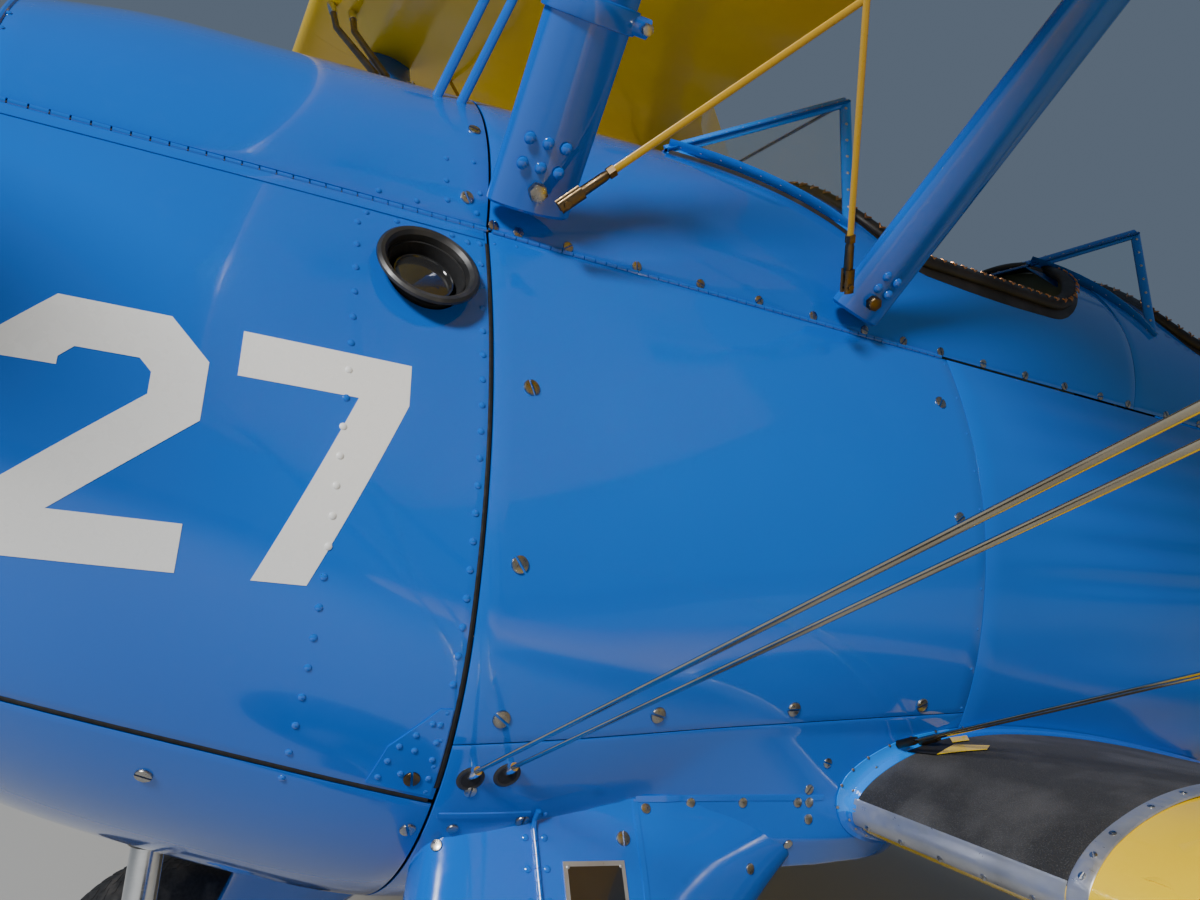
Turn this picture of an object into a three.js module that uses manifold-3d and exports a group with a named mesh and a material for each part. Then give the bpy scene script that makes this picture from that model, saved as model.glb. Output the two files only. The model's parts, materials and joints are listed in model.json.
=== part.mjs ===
// A two-seat open-cockpit biplane trainer with a radial engine, standing on its gear.
// Millimetres. Inside the aircraft's group: x to the pilot's left, y aft, z up, with the origin at the
// propeller hub and the thrust line at z = 0. The group is turned tail-down onto its three wheels.
import * as THREE from "three";
import { mergeVertices } from "three/addons/utils/BufferGeometryUtils.js";
import Module from "manifold-3d";

const wasm = await Module();
wasm.setup();

// Driving dimensions
const SEAT = 0.35; // gap between pieces that rest on one another
const RUN = 6; // clearance round a moving piece
const SKIN = 12; // fuselage skin with its stringers
const SHEET = 6; // cowl sheet with its stiffeners

const COWL_FRONT = 490;
const FIREWALL = 1060;
const FIREWALL_THICK = 4;
const PANEL_START = FIREWALL + FIREWALL_THICK + SEAT;
const PANEL_END = 1894;
const DECK_SPLIT = 2400;
const DECK_END = 3250;
const TUB_END = 3200;
const STERN = 7010;
const SEAM = 280; // height of the long seam between deck and sides

const CHORD = 1524;
const UPPER = { tip: 4902, y: 885, z: 1116, incidence: 4, root: 900 };
const LOWER = { tip: 4750, y: 1684, z: -433, incidence: 3, root: 320 };
const DIHEDRAL = 1.35;
const TIP_LENGTH = 640;
const FRONT_SPAR = 211;
const REAR_SPAR = 1007;
const BAY = 3710; // span station of the interplane struts
const AILERON = { inner: 2250, outer: 4060, hinge: 1180 };

const HALF_TRACK = 978;
const TYRE = { radius: 305, width: 190, rim: 165 };
const AXLE = { y: 960, z: -1240, radius: 28 };
const TAIL_WHEEL = { radius: 125, width: 88, y: 6690 };
const NOSE_UP = THREE.MathUtils.degToRad(11.5);
// The tail wheel's height puts both tread bottoms on one floor at that attitude.
TAIL_WHEEL.z =
  AXLE.z + ((TAIL_WHEEL.y - AXLE.y) * Math.sin(NOSE_UP) - TYRE.radius + TAIL_WHEEL.radius) / Math.cos(NOSE_UP);

const PROP_RADIUS = 1245;
const ENGINE_PLANE = 335;
const ENGINE_RADIUS = 540;
const CYLINDERS = 7;
const RUDDER_HINGE = 7050;
const ELEVATOR_HINGE = 6750;
const STABILIZER_Z = 150;

const V = (x, y, z) => new THREE.Vector3(x, y, z);
const rad = THREE.MathUtils.degToRad;
const lerp = THREE.MathUtils.lerp;

const paint = (color, roughness = 0.25, metalness = 0.1) =>
  new THREE.MeshStandardMaterial({ color, roughness, metalness });
const BLUE = paint(0x1769c4);
const YELLOW = paint(0xf2b705);
const STEEL = paint(0x9a9c9f, 0.35, 0.9);
const DARK = paint(0x2b2c2e, 0.6, 0.2);
const RUBBER = paint(0x1b1b1c, 0.9, 0);
const ALLOY = paint(0xb9bcc0, 0.4, 0.8);
const GREY = paint(0x5d6166, 0.6, 0.4);

// A closed three.js geometry as a solid that can be joined and cut.
function solid(geometry) {
  const bare = geometry.index ? geometry.toNonIndexed() : geometry.clone();
  for (const name of Object.keys(bare.attributes)) if (name !== "position") bare.deleteAttribute(name);
  const merged = mergeVertices(bare, 1e-3);
  const corners = merged.attributes.position.array;
  const faces = new Uint32Array(merged.index.array);
  const made = new wasm.Manifold(new wasm.Mesh({ numProp: 3, vertProperties: corners, triVerts: faces }));
  if (made.volume() > 0) return made;
  for (let i = 0; i < faces.length; i += 3) [faces[i + 1], faces[i + 2]] = [faces[i + 2], faces[i + 1]];
  return new wasm.Manifold(new wasm.Mesh({ numProp: 3, vertProperties: corners, triVerts: faces }));
}

// The geometry of a solid, with the flat shading of its faces.
function geometryOf(shape) {
  const mesh = shape.getMesh();
  const geometry = new THREE.BufferGeometry();
  geometry.setAttribute("position", new THREE.BufferAttribute(new Float32Array(mesh.vertProperties), 3));
  geometry.setIndex(new THREE.BufferAttribute(new Uint32Array(mesh.triVerts), 1));
  const flat = geometry.toNonIndexed();
  flat.computeVertexNormals();
  return flat;
}

const join = (...shapes) => shapes.reduce((a, b) => a.add(b));
const cut = (shape, ...tools) => tools.reduce((a, b) => a.subtract(b), shape);
const moved = (shape, x, y, z) => shape.translate([x, y, z]);

// A closed body through rings of points, all with the same count, with a flat cap on both ends.
function loft(rings) {
  const count = rings[0].length;
  const points = rings.flat();
  const faces = [];
  for (let r = 0; r + 1 < rings.length; r++)
    for (let i = 0; i < count; i++) {
      const j = (i + 1) % count;
      const [a, b, c, d] = [r * count + i, r * count + j, (r + 1) * count + j, (r + 1) * count + i];
      const straight = points[a].distanceTo(points[c]) < points[b].distanceTo(points[d]) - 1e-4;
      faces.push(...(straight ? [a, b, c, a, c, d] : [a, b, d, b, c, d]));
    }
  const middle = (ring) => ring.reduce((sum, p) => sum.add(p), V(0, 0, 0)).divideScalar(count);
  const first = points.push(middle(rings[0])) - 1;
  const last = points.push(middle(rings[rings.length - 1])) - 1;
  const base = (rings.length - 1) * count;
  for (let i = 0; i < count; i++) {
    const j = (i + 1) % count;
    faces.push(first, j, i, last, base + i, base + j);
  }
  const geometry = new THREE.BufferGeometry().setFromPoints(points);
  geometry.setIndex(faces);
  return solid(geometry);
}

// Straight prisms through a convex outline, given in side view or in plan.
const sideBlock = (outline, x0, x1) => loft([x0, x1].map((x) => outline.map(([y, z]) => V(x, y, z))));
const planBlock = (outline, z0, z1) => loft([z0, z1].map((z) => outline.map(([x, y]) => V(x, y, z))));
const box = (x0, x1, y0, y1, z0, z1) => sideBlock([[y0, z0], [y1, z0], [y1, z1], [y0, z1]], x0, x1);

// A round bar between two points, tapered where the two radii differ.
function bar(from, to, radius, sides = 10, endRadius = radius) {
  const geometry = new THREE.CylinderGeometry(endRadius, radius, from.distanceTo(to), sides);
  const turn = new THREE.Quaternion().setFromUnitVectors(V(0, 1, 0), to.clone().sub(from).normalize());
  geometry.applyQuaternion(turn);
  geometry.translate(...from.clone().add(to).multiplyScalar(0.5).toArray());
  return solid(geometry);
}

// A ring of a streamlined bar's section: chord along the given direction, thickness across it.
function streamline(centre, along, across, chord, thick) {
  const ring = [];
  for (let i = 0; i < 12; i++) {
    const t = (i / 12) * 2 * Math.PI;
    const s = Math.cos(t);
    const width = Math.sin(t) * (s > 0 ? Math.pow(1 - s, 0.35) : 1);
    const point = centre.clone().addScaledVector(along, (s * chord) / 2);
    ring.push(point.addScaledVector(across, (width * thick) / 2));
  }
  return ring;
}

// A streamlined strut with its chord aft, through two points or more, with a chord and thickness at each.
function strutThrough(points, chords, thicks) {
  const axis = points[points.length - 1].clone().sub(points[0]).normalize();
  const aft = V(0, 1, 0).addScaledVector(axis, -axis.y).normalize();
  const across = axis.clone().cross(aft);
  return loft(points.map((point, i) => streamline(point, aft, across, chords[i], thicks[i])));
}
const strut = (from, to, chords, thicks) => strutThrough([from, to], chords, thicks);

// Fuselage and cowl sections. Each is an arc over the seams, a bowed side and a rounded belly.
// Columns: y, crown, seam height, half-width at the seam, greatest half-width, its height, belly,
// belly exponent
const COLUMNS = ["y", "crown", "seam", "seamHalf", "half", "halfZ", "belly", "round"];
const named = (row) => Object.fromEntries(COLUMNS.map((name, i) => [name, row[i]]));
const COWL_ROWS = [
  [COWL_FRONT, 506, 262, 378, 460, 0, -460, 2],
  [620, 535, 267, 367, 474, -50, -520, 2],
  [800, 550, 272, 354, 484, -118, -580, 2],
  [FIREWALL, 568, SEAM, 330, 487, -215, -640, 2],
].map(named);
const BODY_ROWS = [
  [FIREWALL, 568, SEAM, 330, 487, -215, -640, 2],
  [1480, 594, SEAM, 320, 458, -165, -600, 2.1],
  [PANEL_END, 610, SEAM, 311, 430, -117, -562, 2.3],
  [DECK_SPLIT, 612, SEAM, 302, 408, -85, -545, 2.5],
  [DECK_END, 590, SEAM, 276, 366, -40, -480, 2.6],
  [4000, 455, 262, 226, 300, 0, -392, 2.6],
  [5000, 335, 232, 150, 212, 40, -276, 2.5],
  [6000, 262, 205, 80, 122, 70, -168, 2.4],
  [STERN, 222, 190, 24, 34, 90, -75, 2.2],
].map(named);

function rowAt(rows, y) {
  const next = Math.max(1, rows.findIndex((row) => row.y >= y));
  const [a, b] = [rows[next - 1], rows[next]];
  const t = (y - a.y) / (b.y - a.y);
  return named(COLUMNS.map((name) => lerp(a[name], b[name], t)));
}

// One side of a section from its crown to its belly, drawn in by a wall's thickness.
function sectionSide(row, inset) {
  const half = row.seamHalf - inset;
  const rise = row.crown - inset - row.seam;
  const arc = (rise * rise + half * half) / (2 * rise);
  const sweep = half <= arc && rise <= arc ? Math.asin(half / arc) : Math.PI - Math.asin(half / arc);
  const side = [];
  for (let i = 0; i < 6; i++) {
    const t = (sweep * i) / 6;
    side.push([arc * Math.sin(t), row.crown - inset - arc + arc * Math.cos(t)]);
  }
  const most = row.half - inset;
  for (let i = 0; i < 5; i++) {
    const u = 1 - i / 5;
    side.push([most - (most - half) * u * u, lerp(row.halfZ, row.seam, u)]);
  }
  const depth = row.halfZ - row.belly - inset;
  for (let i = 0; i <= 7; i++) {
    const t = (i / 7) * (Math.PI / 2);
    const power = 2 / row.round;
    side.push([most * Math.pow(Math.cos(t), power), row.halfZ - depth * Math.pow(Math.sin(t), power)]);
  }
  side[side.length - 1][0] = 0;
  return side;
}

function sectionRing(row, inset = 0) {
  const left = sectionSide(row, inset);
  const right = left.slice(1, -1).reverse().map(([x, z]) => [-x, z]);
  return [...left, ...right].map(([x, z]) => V(x, row.y, z));
}

// A lofted stretch of the fuselage or cowl between two stations.
function stretch(rows, y0, y1, inset = 0) {
  const between = rows.filter((row) => row.y > y0 + 1 && row.y < y1 - 1);
  return loft([rowAt(rows, y0), ...between, rowAt(rows, y1)].map((row) => sectionRing(row, inset)));
}

const root = new THREE.Group();
const aircraft = new THREE.Group();
root.add(aircraft);

function place(name, shape, material, group = aircraft) {
  const mesh = new THREE.Mesh(geometryOf(shape), material);
  mesh.name = name;
  group.add(mesh);
  return shape;
}
const SIDES = [["left", 1], ["right", -1]];
// The same solid on the other side of the aircraft.
const across = (shape, side) => (side > 0 ? shape : shape.mirror([1, 0, 0]));

// An airfoil's half thickness and camber by chord fraction, for a 13% section with 2% camber.
const halfThick = (s) =>
  0.65 * (0.2969 * Math.sqrt(s) - 0.126 * s - 0.3516 * s ** 2 + 0.2843 * s ** 3 - 0.1015 * s ** 4);
const camber = (s) => (s < 0.2 ? 0.5 * (0.4 * s - s * s) : 0.03125 * (0.6 + 0.4 * s - s * s));
const STEPS = [0, 0.012, 0.05, 0.12, 0.22, 0.36, 0.52, 0.68, 0.84, 1];

function airfoilRing(x, leadY, leadZ, chord, incidence) {
  const [c, s] = [Math.cos(rad(incidence)), Math.sin(rad(incidence))];
  const at = (f, h) => V(x, leadY + chord * (f * c + h * s), leadZ + chord * (h * c - f * s));
  const over = STEPS.map((f) => at(f, camber(f) + halfThick(f)));
  const under = STEPS.slice(1).map((f) => at(f, camber(f) - halfThick(f)));
  return [...over, ...under.reverse()];
}

// The wing's leading edge at a span station, with its dihedral outboard of the root.
const leadZ = (wing, x) => wing.z + Math.max(0, x - wing.root) * Math.tan(rad(DIHEDRAL));
// A point on the wing's camber line.
function wingPoint(wing, x, behind) {
  const s = behind / CHORD;
  const [c, i] = [Math.cos(rad(wing.incidence)), Math.sin(rad(wing.incidence))];
  const rise = CHORD * camber(s);
  return V(x, wing.y + behind * c + rise * i, leadZ(wing, x) + rise * c - behind * i);
}

// The left panel of a wing, with an elliptical tip.
function wingPanel(wing, from) {
  const shoulder = wing.tip - TIP_LENGTH;
  const tips = [0.35, 0.6, 0.8, 0.93, 0.99].map((u) => [shoulder + TIP_LENGTH * u, Math.sqrt(1 - u ** 2.4)]);
  const rings = [[from, 1], [shoulder, 1], ...tips].map(([x, scale]) => {
    const lost = (1 - scale) * CHORD;
    const sink = 0.42 * lost * Math.sin(rad(wing.incidence));
    return airfoilRing(x, wing.y + 0.42 * lost, leadZ(wing, x) - sink, CHORD * scale, wing.incidence);
  });
  return loft(rings);
}

// Control surfaces turn about a hinge line. Half thickness at the hinge tapers from one end to the other.
function surface(stations) {
  // Columns: point on the hinge line, aft direction, across direction, half thickness,
  // distance to trailing edge
  return loft(
    stations.map(([point, aft, up, half, chord]) => {
      const at = (back, over) => point.clone().addScaledVector(aft, back).addScaledVector(up, over);
      const ring = [];
      for (let i = 0; i <= 6; i++) {
        const t = Math.PI / 2 + (i / 6) * Math.PI;
        ring.push(at(half * Math.cos(t), half * Math.sin(t)));
      }
      for (const edge of [-2.5, 2.5]) ring.push(at(chord, edge));
      return ring;
    }),
  );
}

const HINGE = { pin: 5, eye: 13, plate: 8, slot: 22 };
// Hinges along a line: an eye plate on the fixed piece, in a slot that the moving piece's pin bridges.
function hinges(fixed, moving, from, to, aft, fractions, reach, slotRadius) {
  const axis = to.clone().sub(from).normalize();
  let [kept, swung] = [fixed, moving];
  for (const f of fractions) {
    const centre = from.clone().lerp(to, f);
    const end = (distance) => centre.clone().addScaledVector(axis, distance);
    const disc = (radius, width, sides) => bar(end(-width / 2), end(width / 2), radius, sides);
    const root = centre.clone().addScaledVector(aft, -reach);
    const arm = strutBox(centre, root, axis, HINGE.plate, HINGE.eye * 2);
    swung = join(cut(swung, disc(slotRadius, HINGE.slot, 12)), disc(HINGE.pin, HINGE.slot + 4, 6));
    kept = join(kept, cut(join(disc(HINGE.eye, HINGE.plate, 8), arm), disc(HINGE.pin + 0.9, 40, 8)));
  }
  return [kept, swung];
}

// A square bar between two points, with its width along the given axis.
function strutBox(from, to, axis, width, height) {
  const along = to.clone().sub(from).normalize();
  const up = along.clone().cross(axis).normalize();
  const corners = [[-1, -1], [1, -1], [1, 1], [-1, 1]];
  return loft([from, to].map((end) => corners.map(([w, h]) =>
    end.clone().addScaledVector(axis, (w * width) / 2).addScaledVector(up, (h * height) / 2))));
}

// Fuselage
const wideBlock = (outline) => sideBlock(outline, -700, 700);
// Lower edge of the metal side panels, straight from the firewall to the panels' aft edge.
const panelEdge = (y, gap) => [y, lerp(-345, -292, (y - FIREWALL) / (PANEL_END - FIREWALL)) - gap];
const panelArea = (y0, gap, high) =>
  [panelEdge(y0, gap), panelEdge(PANEL_END + gap, gap), [PANEL_END + gap, high], [y0, high]];
const panelRoom = wideBlock(panelArea(FIREWALL - 10, SEAT, SEAM + 400));
// Fairings under the side panels, from the firewall to the wings. Columns: y, then half-widths
// at the four heights below, then the inner edge's half-width and height
const FAIRING_HEIGHTS = [-330, -420, -478, -522];
const SIDE_FAIRING = [
  [PANEL_START, 468, 426, 381, 336, 240, -583],
  [1130, 460, 418, 398, 362, 260, -582],
  [1250, 450, 406, 400, 372, 280, -573],
  [1480, 428, 400, 400, 378, 290, -560],
  [1690, 410, 398, 398, 372, 290, -548],
  [1800, 401, 385, 378, 348, 280, -542],
  [2000, 386, 334, 275, 200, 150, -538],
];
const sideFairing = loft(SIDE_FAIRING.map(([y, top, mid, low, corner, inner, innerZ]) => {
  const face = [top, mid, low, corner].map((x, i) => V(x, y, FAIRING_HEIGHTS[i]));
  return [V(top - 60, y, FAIRING_HEIGHTS[0]), ...face, V(inner, y, innerZ), V(inner - 60, y, innerZ + 60)];
}));
const fairings = SIDES.map(([, sign]) => cut(across(sideFairing, sign), panelRoom));
const bodyOuter = join(stretch(BODY_ROWS, PANEL_START, STERN), ...fairings);
const tub = stretch(BODY_ROWS, FIREWALL, TUB_END, SKIN);
const bodyShell = cut(bodyOuter, tub);
const aboveSeam = (gap, end) => box(-700, 700, 0, end, SEAM + gap, 900);

// Rounded outline of an opening in plan, as an eight-sided curve with long straight sides.
function openingOutline(y0, y1, half, radius) {
  const points = [];
  const corners = [[half - radius, y0 + radius, -90], [half - radius, y1 - radius, 0],
    [-half + radius, y1 - radius, 90], [-half + radius, y0 + radius, 180]];
  for (const [x, y, start] of corners)
    for (let i = 0; i <= 4; i++) {
      const t = rad(start + (90 * i) / 4);
      points.push([x + radius * Math.cos(t), y + radius * Math.sin(t)]);
    }
  return points;
}
const COCKPITS = [
  { name: "front", y0: 1700, y1: 2345, half: 266 },
  { name: "rear", y0: 2505, y1: 3160, half: 252 },
];
const openings = COCKPITS.map((c) => planBlock(openingOutline(c.y0, c.y1, c.half, 170), 285, 900));

const flatWing = (wing) =>
  loft([-wing.root, wing.root].map((x) => airfoilRing(x, wing.y, wing.z, CHORD, wing.incidence)));
const stub = flatWing(LOWER);
const stubRoom = box(-700, 700, PANEL_START + 20, DECK_END, -900, 200);
const tailPost = { y: TAIL_WHEEL.y - 45, top: -45, radius: 24, low: TAIL_WHEEL.z + TAIL_WHEEL.radius + 14 };
const postAt = (z) => V(0, tailPost.y, z);
const postSocket = bar(postAt(tailPost.low), postAt(tailPost.top + 15), tailPost.radius + 2, 24);
const openBody = cut(bodyShell, panelRoom, aboveSeam(0, DECK_END), postSocket);
place("fuselage_body", join(openBody, stub.intersect(stubRoom)), BLUE);

const panelShell = bodyShell.intersect(wideBlock(panelArea(PANEL_START, 0, SEAM - SEAT)));
const leftPanel = panelShell.intersect(box(0, 700, 0, 3000, -900, 900));
for (const [side, sign] of SIDES) place("side_panel_" + side, across(leftPanel, sign), BLUE);

const deckShell = bodyShell.intersect(aboveSeam(SEAT, DECK_END - SEAT));
const deckPart = (y0, y1, opening) => cut(deckShell.intersect(box(-700, 700, y0, y1, 0, 900)), opening);
const tubRoom = stretch(BODY_ROWS, FIREWALL, TUB_END, SKIN + 0.6);
const wallAt = (y, thick, low, high) => tubRoom.intersect(box(-700, 700, y, y + thick, low, high));
place("deck_front", join(
  deckPart(PANEL_START, DECK_SPLIT - SEAT / 2, openings[0]),
  stretch(BODY_ROWS, FIREWALL, TUB_END, SKIN - 1).intersect(box(-700, 700, 2352, 2372, SEAM + 60, 900)),
), BLUE);
place("deck_rear", deckPart(DECK_SPLIT + SEAT / 2, DECK_END, openings[1]), BLUE);
place("firewall", stretch(BODY_ROWS, FIREWALL, FIREWALL + FIREWALL_THICK, 3), STEEL);

// Cockpit floor, seats and instrument panels
const FLOOR = { low: -306, high: -292 };
place("cockpit_floor", cut(
  wallAt(1500, TUB_END - 1504, FLOOR.low, FLOOR.high),
  moved(stub, 0, 0, SEAT),
), GREY);
// Columns: cockpit, seat front, panel y
for (const [name, seatY, panelY] of [["front", 1960, 1660], ["rear", 2790, 2480]]) {
  const pan = box(-208, 208, seatY, seatY + 352, -118, -102);
  const back = sideBlock(
    [[seatY + 342, -118], [seatY + 354, -118], [seatY + 404, 330], [seatY + 392, 330]], -208, 208);
  const cheek = sideBlock([[seatY, -118], [seatY + 352, -118], [seatY + 376, 82], [seatY + 10, -38]], 0, 12);
  const legs = box(-150, 150, seatY + 120, seatY + 180, FLOOR.high + SEAT, -110);
  place("seat_" + name, join(pan, back, moved(cheek, 208, 0, 0), moved(cheek, -220, 0, 0), legs), GREY);
  place("instrument_panel_" + name, wallAt(panelY, 8, 110, 900), DARK);
}

// Cowl, with a hinged door on each side
const cowlShell = cut(
  stretch(COWL_ROWS, COWL_FRONT, FIREWALL - SEAT),
  stretch(COWL_ROWS, COWL_FRONT, FIREWALL, SHEET),
);
const hingeFront = V(378, COWL_FRONT, 262);
const hingeRear = V(330, FIREWALL, SEAM);
const slope = (z0, z1, gap) => [[400, lerp(z0, z1, -90 / 570) + gap], [1100, lerp(z0, z1, 610 / 570) + gap]];
const above = (line, top = 900) => wideBlock([...line, [1100, top], [400, top]]);
const below = (line) => wideBlock([...line, [1100, -1200], [400, -1200]]);
const hingeLine = (gap) => slope(262, SEAM, gap);
const doorFoot = (gap) => slope(-300, -414, gap);
const DOOR_AFT = FIREWALL - RUN + 1;
const cowlTop = cowlShell.intersect(above(hingeLine(9)));
const doorBand = cowlShell
  .intersect(above(doorFoot(0)))
  .intersect(below(hingeLine(-7)))
  .intersect(box(0, 700, COWL_FRONT - 5, DOOR_AFT, -900, 900));
place("cowl_bottom", cowlShell.intersect(below(doorFoot(-RUN))), BLUE);

const HINGE_ROD = 3.5;
const KNUCKLES = 4;
const hingeAt = (f, out = 0) => hingeFront.clone().lerp(hingeRear, f).add(V(out, 0, 0));
// The hinge's eyes alternate between the cowl, which holds the rod, and the door.
function knuckle(index, radius, margin) {
  const [a, b] = [(index + margin) / (2 * KNUCKLES), (index + 1 - margin) / (2 * KNUCKLES)];
  return bar(hingeAt(0.01 + 0.97 * a), hingeAt(0.01 + 0.97 * b), radius, 8);
}
// A web from the hinge line to the sheet above or below it.
function web(index, margin, drop) {
  const [a, b] = [(index + margin) / (2 * KNUCKLES), (index + 1 - margin) / (2 * KNUCKLES)];
  const [p, q] = [hingeAt(0.01 + 0.97 * a), hingeAt(0.01 + 0.97 * b)];
  const lean = drop < 0 ? 3 : -6;
  const corners = [V(3, 0, 0), V(-5, 0, 0), V(lean - 5, 0, drop), V(lean - 1, 0, drop)];
  const face = (point) => corners.map((offset) => point.clone().add(offset));
  return loft([face(p), face(q)]);
}
const rod = bar(hingeAt(0.012), hingeAt(0.978), HINGE_ROD, 8);
let [fixedEyes, doorEyes] = [rod, null];
let topWebs = null;
for (let i = 0; i < 2 * KNUCKLES; i++) {
  const margin = 0.08;
  if (i % 2 === 0) {
    fixedEyes = join(fixedEyes, knuckle(i, 6, margin));
    topWebs = topWebs ? join(topWebs, web(i, margin, 14)) : web(i, margin, 14);
  } else {
    const eye = join(knuckle(i, 7, margin), web(i, margin, -14));
    doorEyes = doorEyes ? join(doorEyes, eye) : eye;
  }
}
const rodRoom = bar(hingeAt(0.0), hingeAt(0.99), HINGE_ROD + 0.5, 8);
const hingeFixed = join(fixedEyes, topWebs);
const top = join(cowlTop, hingeFixed, hingeFixed.mirror([1, 0, 0]));
place("cowl_top", top, BLUE);
const door = cut(join(doorBand, doorEyes), rodRoom);
const FILLER = V(400, 973, 194);
const fillerOut = V(0.82, 0.04, 0.57).normalize();
const fillerAt = (distance) => FILLER.clone().addScaledVector(fillerOut, distance);
const filler = (from, to, radius, sides) => bar(fillerAt(from), fillerAt(to), radius, sides);
for (const [side, sign] of SIDES)
  place("cowl_door_" + side, across(sign > 0 ? cut(door, filler(-80, 80, 56, 20)) : door, sign), BLUE);
const TANK = { y: 950, z: 180, radius: 90, half: 190 };
place("oil_tank", join(
  bar(V(-TANK.half, TANK.y, TANK.z), V(TANK.half, TANK.y, TANK.z), TANK.radius, 20),
  bar(V(TANK.half - 30, TANK.y, TANK.z + 10), FILLER.clone().addScaledVector(fillerOut, -20), 36, 14),
  box(-180, -140, TANK.y, FIREWALL - SEAT, TANK.z - 60, TANK.z + 60),
  box(140, 180, TANK.y, FIREWALL - SEAT, TANK.z - 60, TANK.z + 60),
), STEEL);

// Engine: crankcase, cylinders and mount in one casting group
const crank = solid(new THREE.LatheGeometry(
  [[0, 75], [62, 75], [80, 95], [110, 130], [190, 190], [232, 235], [240, 270], [240, 400], [262, 420],
    [262, 470], [215, 500], [200, 640], [150, 760], [0, 760]].map(([r, y]) => new THREE.Vector2(r, y)), 24));
// Columns: radius, distance from the crankshaft, for one cylinder with its fins and head
const barrel = [[0, 200], [66, 200], [66, 262]];
for (let i = 0; i < 3; i++) {
  const at = 280 + i * 52;
  barrel.push([66, at], [80, at + 4], [80, at + 12], [66, at + 16]);
}
barrel.push([66, 440], [82, 450], [82, 500], [60, 528], [0, ENGINE_RADIUS]);
let engine = join(crank, bar(V(0, 40, 0), V(0, 80, 0), 30.2, 24));
for (let i = 0; i < CYLINDERS; i++) {
  const geometry = new THREE.LatheGeometry(barrel.map(([r, h]) => new THREE.Vector2(r, h)), 10);
  geometry.rotateX(Math.PI / 2);
  geometry.rotateY((2 * Math.PI * i) / CYLINDERS);
  geometry.translate(0, ENGINE_PLANE, 0);
  engine = join(engine, solid(geometry));
}
for (const [x, z] of [[320, 70], [-320, 70], [340, -330], [-340, -330]])
  engine = join(engine, bar(V(x * 0.48, 480, z * 0.48), V(x, FIREWALL + 20, z), 14, 8));
engine = engine.intersect(box(-900, 900, 0, FIREWALL - SEAT, -900, 900));
place("engine", engine, GREY);

const RING = { y: 453, radius: 462, tube: 26 };
const ringGeometry = new THREE.TorusGeometry(RING.radius - 20, RING.tube, 6, 28);
ringGeometry.rotateX(Math.PI / 2);
ringGeometry.translate(0, RING.y, 0);
let exhaust = solid(ringGeometry);
for (let i = 0; i < CYLINDERS; i++) {
  const t = (2 * Math.PI * i) / CYLINDERS;
  const r = RING.radius - 20;
  const [x, z] = [r * Math.sin(t), r * Math.cos(t)];
  exhaust = join(exhaust, bar(V(x, RING.y, z), V(x, ENGINE_PLANE + 30, z), 22, 10));
}
const tailPipe = [V(-300, RING.y, -325), V(-372, 470, -412), V(-400, 640, -480), V(-410, 860, -565)];
for (let i = 0; i + 1 < tailPipe.length; i++)
  exhaust = join(exhaust, bar(tailPipe[i], tailPipe[i + 1], 34, 12));
for (const point of tailPipe.slice(1, 3))
  exhaust = join(exhaust, solid(new THREE.SphereGeometry(34, 12, 8).translate(...point.toArray())));
for (let i = 0; i < CYLINDERS; i++) {
  const geometry = new THREE.CylinderGeometry(82.5, 82.5, 400, 10).translate(0, 400, 0);
  geometry.rotateX(Math.PI / 2);
  geometry.rotateY((2 * Math.PI * i) / CYLINDERS);
  geometry.translate(0, ENGINE_PLANE, 0);
  exhaust = cut(exhaust, solid(geometry));
}
place("exhaust_collector", exhaust, STEEL);

// Propeller: two twisted blades on a hub that turns on the crankshaft's nose
// Columns: radius, chord, thickness, pitch in degrees
const BLADE = [[90, 70, 60, 60], [200, 110, 46, 50], [420, 190, 32, 36], [750, 205, 22, 24],
  [1080, 165, 14, 17], [1220, 90, 9, 15]];
const blade = BLADE.map(([r, chord, thick, pitch]) => {
  const along = V(Math.cos(rad(pitch)), -Math.sin(rad(pitch)), 0);
  const over = V(Math.sin(rad(pitch)), Math.cos(rad(pitch)), 0);
  return streamline(V(0, 0, r), along, over, chord, thick);
});
blade.push(blade[blade.length - 1].map((p) => V(p.x * 0.35, p.y, PROP_RADIUS)));
blade.unshift(blade[0].map((p) => V(p.x, p.y, 0)));
const oneBlade = loft(blade);
const hub = join(
  solid(new THREE.CylinderGeometry(92, 92, 110, 20)),
  bar(V(0, -75, 0), V(0, -40, 0), 45, 14),
);
const shaftRoom = bar(V(0, 20, 0), V(0, 90, 0), 31, 24);
const propGroup = new THREE.Group();
propGroup.rotation.y = rad(62);
aircraft.add(propGroup);
const cutHub = cut(join(hub, oneBlade, oneBlade.mirror([1, 0, 0]).mirror([0, 0, 1])), shaftRoom);
place("propeller", cutHub, ALLOY, propGroup);

// Wings
// The trailing edge over the cockpits is cut back, and slants out into the outer panels
const cutoutRight = [[430, 1806], [534, 1848], [627, 1917], [1200, 2502]];
const cutoutOutline = [...cutoutRight, ...cutoutRight.map(([x, y]) => [-x, y]).reverse()];
const cutoutBlock = planBlock(cutoutOutline, 600, 1500);
const upperCentre = cut(flatWing(UPPER), cutoutBlock);
place("upper_wing_centre", upperCentre, YELLOW);
const upperPanel = cut(wingPanel(UPPER, UPPER.root + SEAT), cutoutBlock);
const lowerFull = cut(
  wingPanel(LOWER, LOWER.root + SEAT), moved(bodyOuter, SEAT, 0, 0), moved(panelShell, SEAT, 0, 0));
for (const [side, sign] of SIDES) place("upper_wing_" + side, across(upperPanel, sign), YELLOW);

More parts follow.
